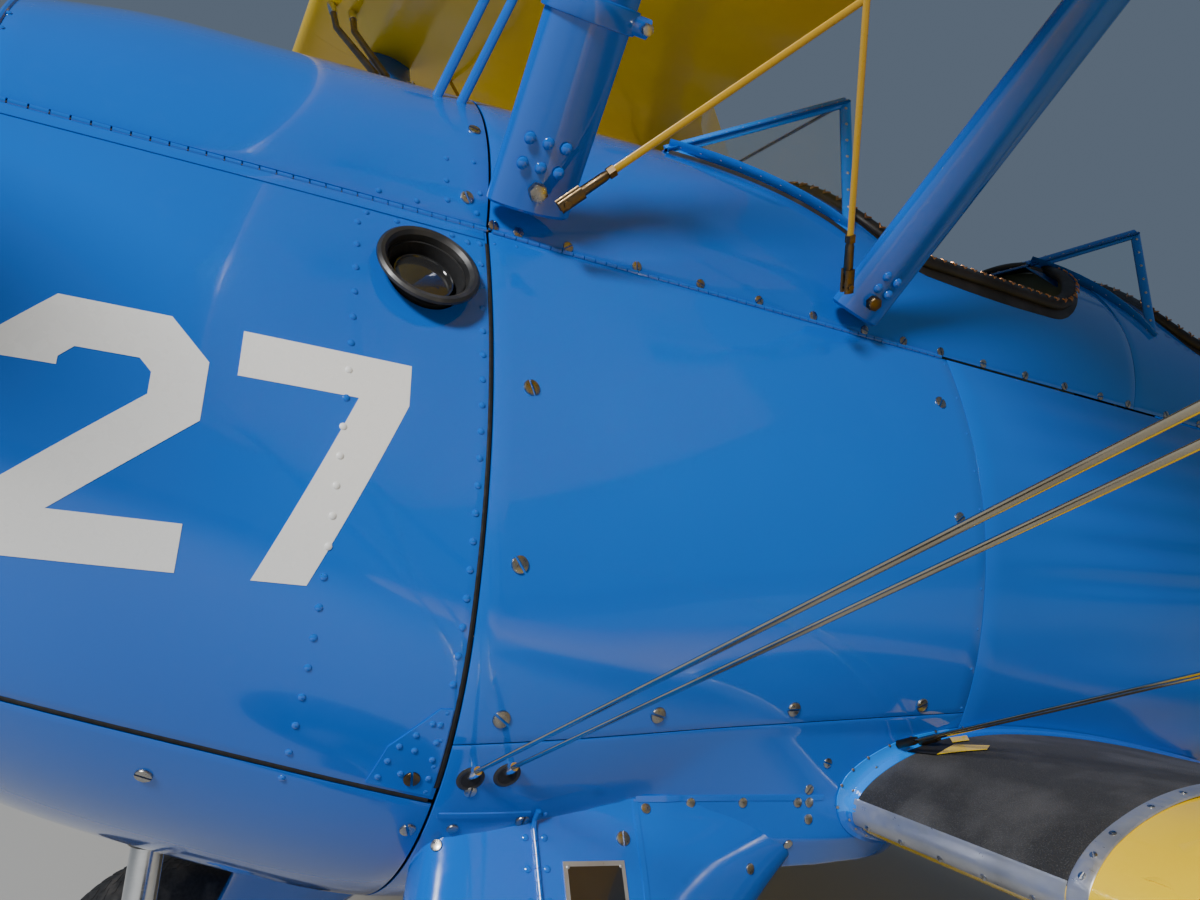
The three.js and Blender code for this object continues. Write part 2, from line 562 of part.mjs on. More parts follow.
const aileronFrom = wingPoint(LOWER, AILERON.inner, AILERON.hinge);
const aileronTo = wingPoint(LOWER, AILERON.outer, AILERON.hinge);
const aileronAxis = aileronTo.clone().sub(aileronFrom).normalize();
const aileronHalf = CHORD * halfThick(AILERON.hinge / CHORD) - 1;
const hingeToTrail = wingPoint(LOWER, AILERON.inner, CHORD).sub(aileronFrom);
const aileronAft = hingeToTrail.clone().normalize();
const aileronUp = aileronAxis.clone().cross(aileronAft);
const aileronChord = hingeToTrail.length() - 3;
const aileronSolid = surface([[aileronFrom, RUN], [aileronTo, -RUN]].map(([point, inset]) =>
  [point.clone().addScaledVector(aileronAxis, inset), aileronAft, aileronUp, aileronHalf, aileronChord]));
const aileronMiddle = aileronFrom.clone().lerp(aileronTo, 0.5);
const aileronRoom = join(
  bar(aileronFrom, aileronTo, aileronHalf + RUN + 1.5, 16),
  strutBox(aileronMiddle, aileronMiddle.clone().addScaledVector(aileronAft, 600),
    aileronAxis, aileronFrom.distanceTo(aileronTo), 300),
);
const [lowerWing, aileron] = hinges(
  cut(lowerFull, aileronRoom), aileronSolid, aileronFrom, aileronTo, aileronAft,
  [0.08, 0.5, 0.92], aileronHalf + 30, aileronHalf + RUN);
for (const [side, sign] of SIDES) {
  place("lower_wing_" + side, across(lowerWing, sign), YELLOW);
  place("aileron_" + side, across(aileron, sign), YELLOW);
}

// Struts between the wings and over the fuselage
const over = (shape) => moved(shape, 0, 0, -SEAT);
const under = (shape) => moved(shape, 0, 0, SEAT);
const wingAt = (wing, behind) => wingPoint(wing, BAY, behind);
// Columns: foot's distance aft of the lower wing's nose, head's distance aft of the upper's, chord
const bays = [[FRONT_SPAR, FRONT_SPAR, 110], [REAR_SPAR, REAR_SPAR, 110],
  [FRONT_SPAR + 45, REAR_SPAR - 30, 70]];
let interplane = join(...bays.map(([low, high, chord]) =>
  strut(wingAt(LOWER, low), wingAt(UPPER, high), [chord, chord], [chord * 0.4, chord * 0.4])));
// Gusset plates where the diagonal meets the upright struts. Columns: wing, first and last
// distance aft, height
for (const [wing, first, last, height] of [[LOWER, 190, 300, 92], [UPPER, 950, 1035, -92]]) {
  const ends = [first, last].map((behind) => wingAt(wing, behind).add(V(0, 0, height)));
  interplane = join(interplane, strutBox(...ends, V(1, 0, 0), 14, 60));
}
interplane = cut(interplane, over(upperPanel), under(lowerFull));
for (const [side, sign] of SIDES) place("interplane_strut_" + side, across(interplane, sign), BLUE);

// Columns: name, foot, head, chord at the foot, chord at the head
const CABANE = [
  ["front", V(338, 1118, 330), V(868, 1096, 1085), 118, 104],
  ["rear", V(330, 1678, 312), V(868, 1890, 1060), 104, 92],
];
const aroundFoot = [moved(bodyOuter, SEAT, 0, 0), moved(bodyOuter, 0, 0, SEAT)];
for (const [name, foot, head, footChord, headChord] of CABANE) {
  const pillar = cut(strut(foot, head, [footChord, headChord], [footChord * 0.36, headChord * 0.36]),
    ...aroundFoot, over(upperCentre), moved(stretch(BODY_ROWS, FIREWALL, STERN), SEAT, 0, SEAT));
  for (const [side, sign] of SIDES) place("cabane_" + name + "_" + side, across(pillar, sign), BLUE);
}
// Landing gear
// Columns: height, outboard face's x, leading edge's y, trailing edge's y, thickness, squareness
const LEG = [
  [-380, 398, 1090, 1680, 150, 0.5], [-430, 405, 1079, 1670, 150, 0.5], [-480, 435, 1069, 1650, 150, 0.5],
  [-530, 464, 1059, 1573, 152, 0.5], [-580, 494, 1049, 1502, 154, 0.5], [-640, 530, 1037, 1462, 148, 0.55],
  [-760, 601, 1013, 1380, 130, 0.6],
  [-900, 685, 985, 1280, 112, 0.7], [-1040, 768, 955, 1160, 98, 0.8], [-1150, 834, 933, 1080, 88, 0.9],
  [-1225, 878, 918, 1026, 80, 1],
];
const legRing = ([z, face, lead, trail, thick, square]) =>
  Array.from({ length: 16 }, (_, i) => {
    const t = (i / 16) * 2 * Math.PI;
    const [s, w] = [Math.cos(t), Math.sin(t)];
    const width = Math.sign(w) * Math.pow(Math.abs(w), square) * (s > 0 ? Math.pow(1 - s, 0.35) : 1);
    const middle = face - thick / 2;
    return V(middle + (width * thick) / 2, lerp(lead, trail, (1 + s) / 2), z);
  });
const legBody = join(
  loft(LEG.map(legRing)),
  solid(new THREE.SphereGeometry(62, 14, 8).translate(848, AXLE.y, AXLE.z)),
  bar(V(840, AXLE.y, AXLE.z), V(HALF_TRACK + 92, AXLE.y, AXLE.z), AXLE.radius, 16),
  bar(V(HALF_TRACK + 84, AXLE.y, AXLE.z), V(HALF_TRACK + 94, AXLE.y, AXLE.z), 42, 8),
);
const leg = cut(legBody, moved(bodyOuter, SEAT, 0, -SEAT), moved(bodyOuter, 0, 0, -SEAT));
const wheelRound = (profile, sides) =>
  new THREE.LatheGeometry(profile.map(([r, h]) => new THREE.Vector2(r, h)), sides).rotateZ(-Math.PI / 2);
const half = TYRE.width / 2;
const bead = half * 0.62;
const tyre = solid(wheelRound([[TYRE.rim, -bead], [215, -half], [268, -half * 0.94], [296, -bead],
  [TYRE.radius, 0], [296, bead], [268, half * 0.94], [215, half], [TYRE.rim, bead], [TYRE.rim, -bead]], 30));
const wheel = solid(wheelRound([[AXLE.radius + 1, -70], [60, -70], [150, -56], [TYRE.rim - SEAT, -bead],
  [TYRE.rim - SEAT, bead], [150, 56], [60, 70], [AXLE.radius + 1, 70], [AXLE.radius + 1, -70]], 30));
for (const [side, sign] of SIDES) {
  place("gear_leg_" + side, across(leg, sign), BLUE);
  const group = new THREE.Group();
  group.position.set(sign * HALF_TRACK, AXLE.y, AXLE.z);
  aircraft.add(group);
  place("tyre_" + side, tyre, RUBBER, group);
  place("wheel_" + side, wheel, ALLOY, group);
}

const WIRE = 4.5;
const wire = (from, to, radius = WIRE) => bar(from, to, radius, 6);
const cross = cut(join(
  wire(V(396, 1137, 320), V(828, 1880, 1070)), wire(V(405, 1592, 317), V(828, 1215, 1085)),
  solid(new THREE.SphereGeometry(14, 6, 4).translate(572.5, 1440.2, 626)),
), moved(bodyOuter, SEAT, 0, SEAT), over(upperCentre));

// Flying wires run in pairs, 43 mm apart, to the struts' heads under the upper wing.
const flyingPair = (foot, behind, aft, depth) => {
  const head = wingAt(UPPER, behind).add(V(-10, aft, -depth));
  const ends = [[foot, head], [foot.clone().add(V(0, 43, 5)), head.clone().add(V(0, 43, 0))]];
  const fork = strutBox(...ends.map(([from, to]) => from.clone().lerp(to, 0.93)),
    head.clone().sub(foot).normalize(), 70, 12);
  return join(...ends.map(([from, to]) => wire(from, to)), fork);
};
const frontFlying = flyingPair(V(440, 1093, -384), FRONT_SPAR, 20, 112);
const rearFlying = flyingPair(V(410, 1770, -341), REAR_SPAR, 30, 95);
const landing = wire(V(800, 1150, 1080), wingAt(LOWER, FRONT_SPAR).add(V(-80, 0, 0)));
const bodyRoom = moved(bodyOuter, SEAT, 0, 0);
const interplaneRoom = moved(interplane, -SEAT, 0, 0);
const WIRES = [
  ["flying_wire_front_",
    cut(frontFlying, over(upperPanel), bodyRoom, interplaneRoom, moved(legBody, SEAT, 0, SEAT))],
  ["flying_wire_rear_", cut(rearFlying, over(upperPanel), under(lowerFull), bodyRoom, interplaneRoom)],
  ["landing_wire_", cut(landing, over(upperCentre), over(upperPanel), under(lowerFull))],
];
for (const [side, sign] of SIDES) {
  place("cabane_wires_" + side, across(cross, sign), STEEL);
  for (const [name, shape] of WIRES) place(name + side, across(shape, sign), STEEL);
}

// Tail
// Fixed surfaces have a rounded leading edge and end at the hinge line.
function fixedRing(lead, hinge, up, thick) {
  const run = hinge.clone().sub(lead);
  const ring = [];
  for (let i = -5; i <= 5; i++) {
    const t = (i / 5) * (Math.PI / 2);
    ring.push(lead.clone().addScaledVector(run, 1 - Math.cos(t)).addScaledVector(up, thick * Math.sin(t)));
  }
  return ring;
}
// Columns: distance out, leading edge, trailing edge, half thickness at the hinge
const TAILPLANE = [[20, 6080, 7350, 27], [520, 6150, 7372, 26], [1100, 6290, 7340, 23],
  [1400, 6410, 7235, 20], [1560, 6530, 7080, 16], [1630, 6640, 6900, 11]];
const FIN = [[190, 6260, 7490, 28], [420, 6420, 7535, 27], [700, 6620, 7520, 25], [920, 6790, 7430, 22],
  [1060, 6930, 7280, 17], [1110, 6995, 7150, 12]];
const RUDDER_FOOT = [[-70, 7000, 7300, 22], [40, 7000, 7440, 26]];
const tailAft = V(0, 1, 0);
const hingeLineAt = (out) => V(out, ELEVATOR_HINGE, STABILIZER_Z);
const stabilizerFull = loft(TAILPLANE.map(([out, lead, , thick]) =>
  fixedRing(V(out, lead, STABILIZER_Z), hingeLineAt(out), V(0, 0, 1), thick)));
const elevatorFull = cut(
  surface(TAILPLANE.map(([out, , trail, thick]) =>
    [hingeLineAt(out), tailAft, V(0, 0, 1), thick, trail - ELEVATOR_HINGE])),
  planBlock([[0, 6500], [80, 6500], [80, 7000], [360, 7460], [0, 7460]], 0, 300),
);
const room = (rows, point, extra) => join(...rows.slice(1).map(([out, , , thick], i) =>
  bar(point(rows[i][0]), point(out), rows[i][3] + extra, 14, thick + extra)));
const [stabilizer, elevator] = hinges(
  cut(stabilizerFull, room(TAILPLANE, hingeLineAt, RUN + 1), moved(bodyOuter, SEAT, 0, 0)), elevatorFull,
  hingeLineAt(150), hingeLineAt(1380), tailAft, [0.06, 0.5, 0.94], 55, 27 + RUN);
for (const [side, sign] of SIDES) {
  place("stabilizer_" + side, across(stabilizer, sign), YELLOW);
  place("elevator_" + side, across(elevator, sign), YELLOW);
}
const rudderLineAt = (z) => V(0, RUDDER_HINGE, z);
const finFull = loft(
  FIN.map(([z, lead, , thick]) => fixedRing(V(0, lead, z), rudderLineAt(z), V(1, 0, 0), thick)));
const rudderFull = surface([...RUDDER_FOOT, ...FIN].map(([z, , trail, thick]) =>
  [rudderLineAt(z), tailAft, V(1, 0, 0), thick, trail - RUDDER_HINGE]));
const [fin, rudder] = hinges(
  cut(finFull, room(FIN, rudderLineAt, RUN + 1), moved(bodyOuter, 0, 0, SEAT), moved(bodyOuter, 0, SEAT, 0)),
  rudderFull,
  rudderLineAt(260), rudderLineAt(980), tailAft, [0.05, 0.95], 55, 28 + RUN);
place("fin", fin, BLUE);
place("rudder", rudder, YELLOW);
const tailStrut = cut(join(
  strut(V(40, 6420, -70), V(820, 6420, STABILIZER_Z), [60, 60], [24, 24]),
  strut(V(40, 6440, -70), V(820, 6660, STABILIZER_Z), [60, 60], [24, 24]),
), moved(stabilizerFull, 0, 0, -SEAT), moved(bodyOuter, SEAT, 0, 0), moved(bodyOuter, 0, 0, -SEAT));
for (const [side, sign] of SIDES) place("tail_strut_" + side, across(tailStrut, sign), BLUE);

// Tail wheel: a fork that swivels on a post, and the wheel on its axle
const forkArm = (x) => sideBlock([[tailPost.y - 26, tailPost.low - 3], [tailPost.y + 26, tailPost.low - 3],
  [TAIL_WHEEL.y + 24, TAIL_WHEEL.z - 20], [TAIL_WHEEL.y - 24, TAIL_WHEEL.z - 20]], x - 5, x + 5);
const armX = TAIL_WHEEL.width / 2 + 12;
const tailFork = join(
  bar(V(0, tailPost.y, tailPost.low - 3), V(0, tailPost.y, tailPost.top), tailPost.radius, 14),
  box(-armX - 5, armX + 5, tailPost.y - 26, tailPost.y + 26, tailPost.low - 7, tailPost.low),
  forkArm(armX), forkArm(-armX),
  bar(V(-armX - 3, TAIL_WHEEL.y, TAIL_WHEEL.z), V(armX + 3, TAIL_WHEEL.y, TAIL_WHEEL.z), 10, 12),
);
place("tailwheel_fork", tailFork, STEEL);
const tailHalf = TAIL_WHEEL.width / 2;
const tailGroup = new THREE.Group();
tailGroup.position.set(0, TAIL_WHEEL.y, TAIL_WHEEL.z);
aircraft.add(tailGroup);
const tailTyre = [[11, -30], [70, -30], [85, -tailHalf], [108, -tailHalf * 0.8], [TAIL_WHEEL.radius, 0],
  [108, tailHalf * 0.8], [85, tailHalf], [70, 30], [11, 30], [11, -30]];
place("tailwheel", solid(wheelRound(tailTyre, 24)), RUBBER, tailGroup);

// Windshield frames: three flat panels, each with an opening for its pane
// Columns: name, base half-width, base y and z, top half-width, y and z, rear foot half-width, y and z
const SHIELDS = [
  ["front", [135, 1410, 562], [190, 1724, 732], [262, 1702, 460]],
  ["rear", [112, 2310, 592], [188, 2532, 701], [262, 2505, 456]],
];
function plate(points, t0, t1) {
  const normal = points[1].clone().sub(points[0]).cross(points[2].clone().sub(points[0])).normalize();
  return loft([t0, t1].map((t) => points.map((p) => p.clone().addScaledVector(normal, t))));
}
const inward = (points, share) => {
  const middle = points.reduce((sum, p) => sum.add(p), V(0, 0, 0)).divideScalar(points.length);
  return points.map((p) => p.clone().lerp(middle, share));
};
for (const [name, base, top, foot] of SHIELDS) {
  const corner = ([x, y, z], sign) => V(x * sign, y, z);
  const front = [corner(base, 1), corner(base, -1), corner(top, -1), corner(top, 1)];
  const left = [corner(base, 1), corner(top, 1), corner(foot, 1)];
  const right = [corner(base, -1), corner(foot, -1), corner(top, -1)];
  const faces = [front, left, right];
  const frame = cut(
    join(...faces.map((points) => plate(points, -4, 6))),
    ...faces.map((points, i) => plate(inward(points, i ? 0.3 : 0.13), -1, 20)),
    moved(bodyOuter, 0, 0, SEAT), moved(bodyOuter, 0, -SEAT, 0));
  const largest = frame.decompose().sort((a, b) => b.volume() - a.volume())[0];
  place("windshield_" + name, largest, BLUE);
}

// The group's origin is on the floor under the middle of the aircraft.
aircraft.rotation.x = -NOSE_UP;
const extent = new THREE.Box3().setFromObject(aircraft, true);
aircraft.position.set(0, -(extent.min.y + extent.max.y) / 2, -extent.min.z);

export default root;
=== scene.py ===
"""Dresses a two-seat open-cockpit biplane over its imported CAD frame.

Sizes are in millimetres in the aircraft's own axes: x to the pilot's left, y aft and z up, with
the origin at the propeller hub. Placement turns them into the row frame, in metres.
"""

from __future__ import annotations

import json
import logging
import math
from collections.abc import Callable, Iterator, Sequence
from contextlib import contextmanager
from dataclasses import dataclass, field
from enum import Enum

import bpy
import numpy as np
from mathutils import Matrix, Vector

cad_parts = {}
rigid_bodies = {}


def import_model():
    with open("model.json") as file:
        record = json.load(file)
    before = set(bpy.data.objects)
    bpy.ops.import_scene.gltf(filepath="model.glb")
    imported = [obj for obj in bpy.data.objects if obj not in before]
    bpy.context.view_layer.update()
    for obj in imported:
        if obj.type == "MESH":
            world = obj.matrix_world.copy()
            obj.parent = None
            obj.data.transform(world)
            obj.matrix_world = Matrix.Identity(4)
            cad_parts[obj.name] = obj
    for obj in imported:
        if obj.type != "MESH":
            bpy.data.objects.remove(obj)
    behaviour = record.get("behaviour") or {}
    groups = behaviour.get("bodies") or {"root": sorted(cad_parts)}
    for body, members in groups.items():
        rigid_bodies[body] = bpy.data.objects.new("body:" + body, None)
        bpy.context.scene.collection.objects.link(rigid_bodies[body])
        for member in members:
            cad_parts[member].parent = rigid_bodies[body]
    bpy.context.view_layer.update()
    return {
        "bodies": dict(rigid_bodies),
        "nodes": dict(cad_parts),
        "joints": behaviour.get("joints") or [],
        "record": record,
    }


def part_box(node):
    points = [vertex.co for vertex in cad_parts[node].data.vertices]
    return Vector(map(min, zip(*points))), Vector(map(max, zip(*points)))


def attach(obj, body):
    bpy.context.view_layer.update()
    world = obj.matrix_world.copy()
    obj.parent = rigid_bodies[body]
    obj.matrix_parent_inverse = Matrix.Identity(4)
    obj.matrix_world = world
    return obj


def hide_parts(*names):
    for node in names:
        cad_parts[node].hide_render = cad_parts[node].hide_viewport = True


LOG = logging.getLogger("biplane")
Array = np.ndarray
Point = tuple[float, float, float]
Point2 = tuple[float, float]

CHORD = 1524.0
DIHEDRAL = math.radians(1.35)
SEAM = 280.0
# The exponent by which a streamlined section closes behind its thickest place
TAIL_POWER = 0.35
# The share of the chord lost in a wing's tip that goes at its front
TIP_SWEEP = 0.42
FILM_WIDTH = 36.0
# Corners nearer than this, in metres, are one
WELD = 1e-5


class Side(Enum):
    """The two sides of the aircraft, as the sign of x."""

    LEFT = 1
    RIGHT = -1

    @property
    def word(self) -> str:
        """The side's word in a piece's name."""
        return self.name.lower()


@dataclass(frozen=True)
class Placement:
    """Turns the aircraft's own millimetres into the row frame."""

    hub: Point
    pitch: float

    @classmethod
    def from_joints(cls, joints: Sequence[dict]) -> Placement:
        """Reads the hub and the parked attitude from the propeller's joint.

        Args:
            joints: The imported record's joints.

        Returns:
            The placement of the aircraft's own axes.
        """
        spin = next(j for j in joints if j["name"] == "propeller_spin")
        return cls(tuple(spin["pos_m"]), math.atan2(spin["axis"][2], -spin["axis"][1]))

    def turn(self, vectors: Array) -> Array:
        """Turns directions into the row frame.

        Args:
            vectors: Directions in the aircraft's axes, one per row.

        Returns:
            The same directions in the row frame.
        """
        v = np.asarray(vectors, float).reshape(-1, 3)
        c, s = math.cos(self.pitch), math.sin(self.pitch)
        return np.stack([v[:, 0], v[:, 1] * c + v[:, 2] * s, -v[:, 1] * s + v[:, 2] * c], 1)

    def row(self, points: Array) -> Array:
        """Places points in the row frame.

        Args:
            points: Points in millimetres in the aircraft's axes, one per row.

        Returns:
            The points in metres in the row frame.
        """
        return self.turn(np.asarray(points, float).reshape(-1, 3) / 1000.0) + np.array(self.hub)

    def station_and_height(self, point: Array) -> Point2:
        """The station and the height of a point of the row frame.

        Args:
            point: A point in metres in the row frame.

        Returns:
            The point's y and z in millimetres in the aircraft's axes.
        """
        _, y, z = (np.asarray(point, float) - np.array(self.hub)) * 1000
        c, s = math.cos(self.pitch), math.sin(self.pitch)
        return y * c - z * s, y * s + z * c


def unit(v: Array) -> Array:
    """Scales vectors to length one.

    Args:
        v: Vectors, one per row or a single one.

    Returns:
        The unit vectors.
    """
    v = np.asarray(v, float)
    return v / np.maximum(np.linalg.norm(v, axis=-1, keepdims=True), 1e-12)


def circle(count: int) -> Array:
    """Angles spaced evenly round a circle, without the last one."""
    return np.linspace(0, 2 * math.pi, count, endpoint=False)


def taper(along: Array) -> Array:
    """A streamlined section's thickness share, which closes towards its trailing edge."""
    return np.where(along > 0, np.maximum(1 - along, 0) ** TAIL_POWER, 1.0)


def smooth_rows(keys: Array, values: Array, at: Array) -> Array:
    """Runs a smooth curve through the rows of a table.

    Args:
        keys: The station of each row, rising.
        values: One row of numbers per station.
        at: The stations wanted.

    Returns:
        The interpolated rows.
    """
    at = np.clip(np.asarray(at, float), keys[0], keys[-1])
    slopes = np.gradient(values, keys, axis=0)
    i = np.clip(np.searchsorted(keys, at, side="right") - 1, 0, len(keys) - 2)
    h = (keys[i + 1] - keys[i])[..., None]
    t = ((at - keys[i]) / (keys[i + 1] - keys[i]))[..., None]
    a, b = values[i], values[i + 1]
    ma, mb = slopes[i] * h, slopes[i + 1] * h
    start = (2 * t**3 - 3 * t**2 + 1) * a + (t**3 - 2 * t**2 + t) * ma
    return start + (3 * t**2 - 2 * t**3) * b + (t**3 - t**2) * mb


@dataclass(frozen=True)
class Skin:
    """The fuselage and cowl skin: an arc over the seams, a bowed side and a rounded belly."""

    rows: tuple[tuple[float, ...], ...] = (
        # y, crown, seam height, half at the seam, greatest half, its height, belly, belly exponent
        (490, 506, 262, 378, 460, 0, -460, 2.0),
        (620, 535, 267, 367, 474, -50, -520, 2.0),
        (800, 550, 272, 354, 484, -118, -580, 2.0),
        (1060, 568, 280, 330, 487, -215, -640, 2.0),
        (1480, 594, 280, 320, 458, -165, -600, 2.1),
        (1894, 610, 280, 311, 430, -117, -562, 2.3),
        (2400, 612, 280, 302, 408, -85, -545, 2.5),
        (3250, 590, 280, 276, 366, -40, -480, 2.6),
        (4000, 455, 262, 226, 300, 0, -392, 2.6),
        (5000, 335, 232, 150, 212, 40, -276, 2.5),
        (6000, 262, 205, 80, 122, 70, -168, 2.4),
        (7010, 222, 190, 24, 34, 90, -75, 2.2),
    )
    fairing_heights: tuple[float, ...] = (-330, -420, -478, -522)
    fairing: tuple[tuple[float, ...], ...] = (
        # y, half-widths at the four heights, inner half-width, inner height
        (1060, 468, 426, 381, 336, 240, -583),
        (1130, 460, 418, 398, 362, 260, -582),
        (1250, 450, 406, 400, 372, 280, -573),
        (1480, 428, 400, 400, 378, 290, -560),
        (1690, 410, 398, 398, 372, 290, -548),
        (1800, 401, 385, 378, 348, 280, -542),
        (2000, 386, 334, 275, 200, 150, -538),
    )

    def at(self, y: Array) -> list[Array]:
        """The section's seven numbers at each station y, in the table's order.

        Args:
            y: Stations.

        Returns:
            The seven numbers, each at every station.
        """
        table = np.array(self.rows, float)
        found = smooth_rows(table[:, 0], table[:, 1:], np.asarray(y, float))
        return [found[..., k] for k in range(7)]

    def arc(self, y: Array) -> tuple[Array, Array, Array, Array]:
        """The arc over the seams.

        Args:
            y: Stations.

        Returns:
            The crown's height, its rise over the seam, the seam's half-width and the arc's radius.
        """
        crown, seam, sh, *_ = self.at(y)
        rise = crown - seam
        return crown, rise, sh, (rise**2 + sh**2) / (2 * rise)

    def below(self, y: Array, foot: Array, gap: float, count: int) -> Array:
        """Places round the belly, from a height on the left to the same one on the right.

        Args:
            y: Stations, one per row.
            foot: The height at each station.
            gap: How far under that height the run starts.
            count: Places on each side.

        Returns:
            The places, as around() takes them.
        """
        *_, hz, belly, n = self.at(y)
        low = np.arcsin(np.clip((hz - foot + gap) / (hz - belly), 0, 1) ** (n / 2)) * 2 / math.pi
        left = 2 + low + (1 - low) * np.linspace(0, 1, count)[None, :]
        return np.concatenate([left, -left[:, -2::-1]], 1)

    def faired(self, y: Array, z: Array) -> Array:
        """Half-width of the fairing under the side panel, or 0 where there is none.

        Args:
            y: Stations.
            z: Heights.

        Returns:
            The distance of the fairing's left face from the centre plane.
        """
        y, z = np.broadcast_arrays(np.asarray(y, float), np.asarray(z, float))
        table = np.array(self.fairing, float)
        rows = smooth_rows(table[:, 0], table[:, 1:], y)
        heights = [np.full_like(y, h) for h in self.fairing_heights] + [rows[..., 5]]
        wide = np.zeros_like(z)
        for k, (high, low) in enumerate(zip(heights, heights[1:])):
            t = (high - z) / (high - low)
            wide = np.where((t >= 0) & (t <= 1), rows[..., k]
                            + (rows[..., k + 1] - rows[..., k]) * t, wide)
        return np.where((y >= table[0, 0]) & (y <= table[-1, 0]), wide, 0.0)

    def side(self, y: Array, z: Array) -> Array:
        """Half-width of the skin at a station and height, from the belly up to the crown.

        Args:
            y: Stations.
            z: Heights.

        Returns:
            The distance of the left skin from the centre plane.
        """
        y, z = np.broadcast_arrays(np.asarray(y, float), np.asarray(z, float))
        _, seam, _, half, hz, belly, n = self.at(y)
        crown, _, sh, arc = self.arc(y)
        over = np.sqrt(np.maximum(arc**2 - (z - crown + arc) ** 2, 0))
        u = np.clip((z - hz) / (seam - hz), 0, 1)
        beside = half - (half - sh) * u * u
        w = np.clip((hz - z) / (hz - belly), 0, 1)
        under = half * np.maximum(1 - w**n, 0) ** (1 / n)
        return np.maximum(np.where(z > seam, over, np.where(z > hz, beside, under)),
                          self.faired(y, z))

    def around(self, y: Array, s: Array) -> Array:
        """Points round the section: s is 0 at the crown, 1 the seam, 2 the widest and 3 the belly.

        Args:
            y: Stations.
            s: Places round the section, negative on the right.

        Returns:
            Points with a last axis of x, y and z.
        """
        y, s = np.broadcast_arrays(np.asarray(y, float), np.asarray(s, float))
        _, seam, _, half, hz, belly, n = self.at(y)
        crown, rise, sh, arc = self.arc(y)
        a = np.abs(s)
        sweep = np.arcsin(np.clip(sh / arc, 0, 1))
        sweep = np.where(rise <= arc, sweep, math.pi - sweep)
        t = np.clip(a, 0, 1) * sweep
        u = 1 - np.clip(a - 1, 0, 1)
        q = np.clip(a - 2, 0, 1) * math.pi / 2
        x = np.where(a <= 1, arc * np.sin(t), np.where(a <= 2, half - (half - sh) * u * u,
                     half * np.maximum(np.cos(q), 0) ** (2 / n)))
        z = np.where(a <= 1, crown - arc + arc * np.cos(t), np.where(a <= 2, hz + (seam - hz) * u,
                     hz - (hz - belly) * np.maximum(np.sin(q), 0) ** (2 / n)))
        return np.stack([np.maximum(x, self.faired(y, z)) * np.where(s < 0, -1, 1), y, z], -1)

    def on_side(self, y: Array, z: Array, side: Side, out: float = 0.0) -> tuple[Array, Array]:
        """Points on one side of the skin, with the skin's outward normals.

        Args:
            y: Stations.
            z: Heights.
            side: Which side.
            out: Distance off the skin.

        Returns:
            The points and the normals, one per row.
        """
        y, z = np.broadcast_arrays(np.asarray(y, float).ravel(), np.asarray(z, float).ravel())
        step = 2.0
        x = self.side(y, z)
        dy = (self.side(y + step, z) - self.side(y - step, z)) / (2 * step)
        dz = (self.side(y, z + step) - self.side(y, z - step)) / (2 * step)
        normal = unit(np.stack([np.ones_like(x), -dy, -dz], 1))
        points = np.stack([x, y, z], 1) + normal * out
        flip = np.array([side.value, 1, 1])
        return points * flip, normal * flip


@dataclass(frozen=True)
class Wing:
    """One wing's plan, section and set."""

    tip: float
    y: float
    z: float
    incidence: float
    root: float
    tip_length: float = 640.0

    @staticmethod
    def half_thick(f: Array) -> Array:
        """Half thickness of the section by chord fraction."""
        return 0.65 * (0.2969 * np.sqrt(f) - 0.126 * f - 0.3516 * f**2 + 0.2843 * f**3
                       - 0.1015 * f**4)

    @staticmethod
    def camber(f: Array) -> Array:
        """Height of the section's middle line by chord fraction."""
        return np.where(f < 0.2, 0.5 * (0.4 * f - f * f), 0.03125 * (0.6 + 0.4 * f - f * f))

    def scale(self, x: Array) -> Array:
        """The chord's share that is left at a span station, less than one in the rounded tip."""
        u = np.clip((np.abs(x) - self.tip + self.tip_length) / self.tip_length, 0, 1)
        return np.sqrt(np.maximum(1 - u**2.4, 0.0))

    def point(self, x: Array, f: Array, face: Array, out: Array | float = 0.0) -> Array:
        """Points on the wing.

        Args:
            x: Span stations.
            f: Chord fractions.
            face: 1 on the upper face, -1 on the lower one and 0 on the middle line.
            out: Distance off the face.

        Returns:
            Points with a last axis of x, y and z.
        """
        x, f, face, out = np.broadcast_arrays(*[np.asarray(a, float) for a in (x, f, face, out)])
        share = self.scale(x)
        i = math.radians(self.incidence)
        chord = CHORD * share
        lost = (1 - share) * CHORD
        h = chord * (self.camber(f) + face * self.half_thick(f)) + face * out
        rise = np.maximum(0, np.abs(x) - self.root) * math.tan(DIHEDRAL)
        lead_y = self.y + TIP_SWEEP * lost
        lead_z = self.z + rise - TIP_SWEEP * lost * math.sin(i)
        return np.stack([x, lead_y + chord * f * math.cos(i) + h * math.sin(i),
                         lead_z + h * math.cos(i) - chord * f * math.sin(i)], -1)


SKIN = Skin()
UPPER = Wing(4902, 885, 1116, 4, 900)
LOWER = Wing(4750, 1684, -433, 3, 320)


# Finishes


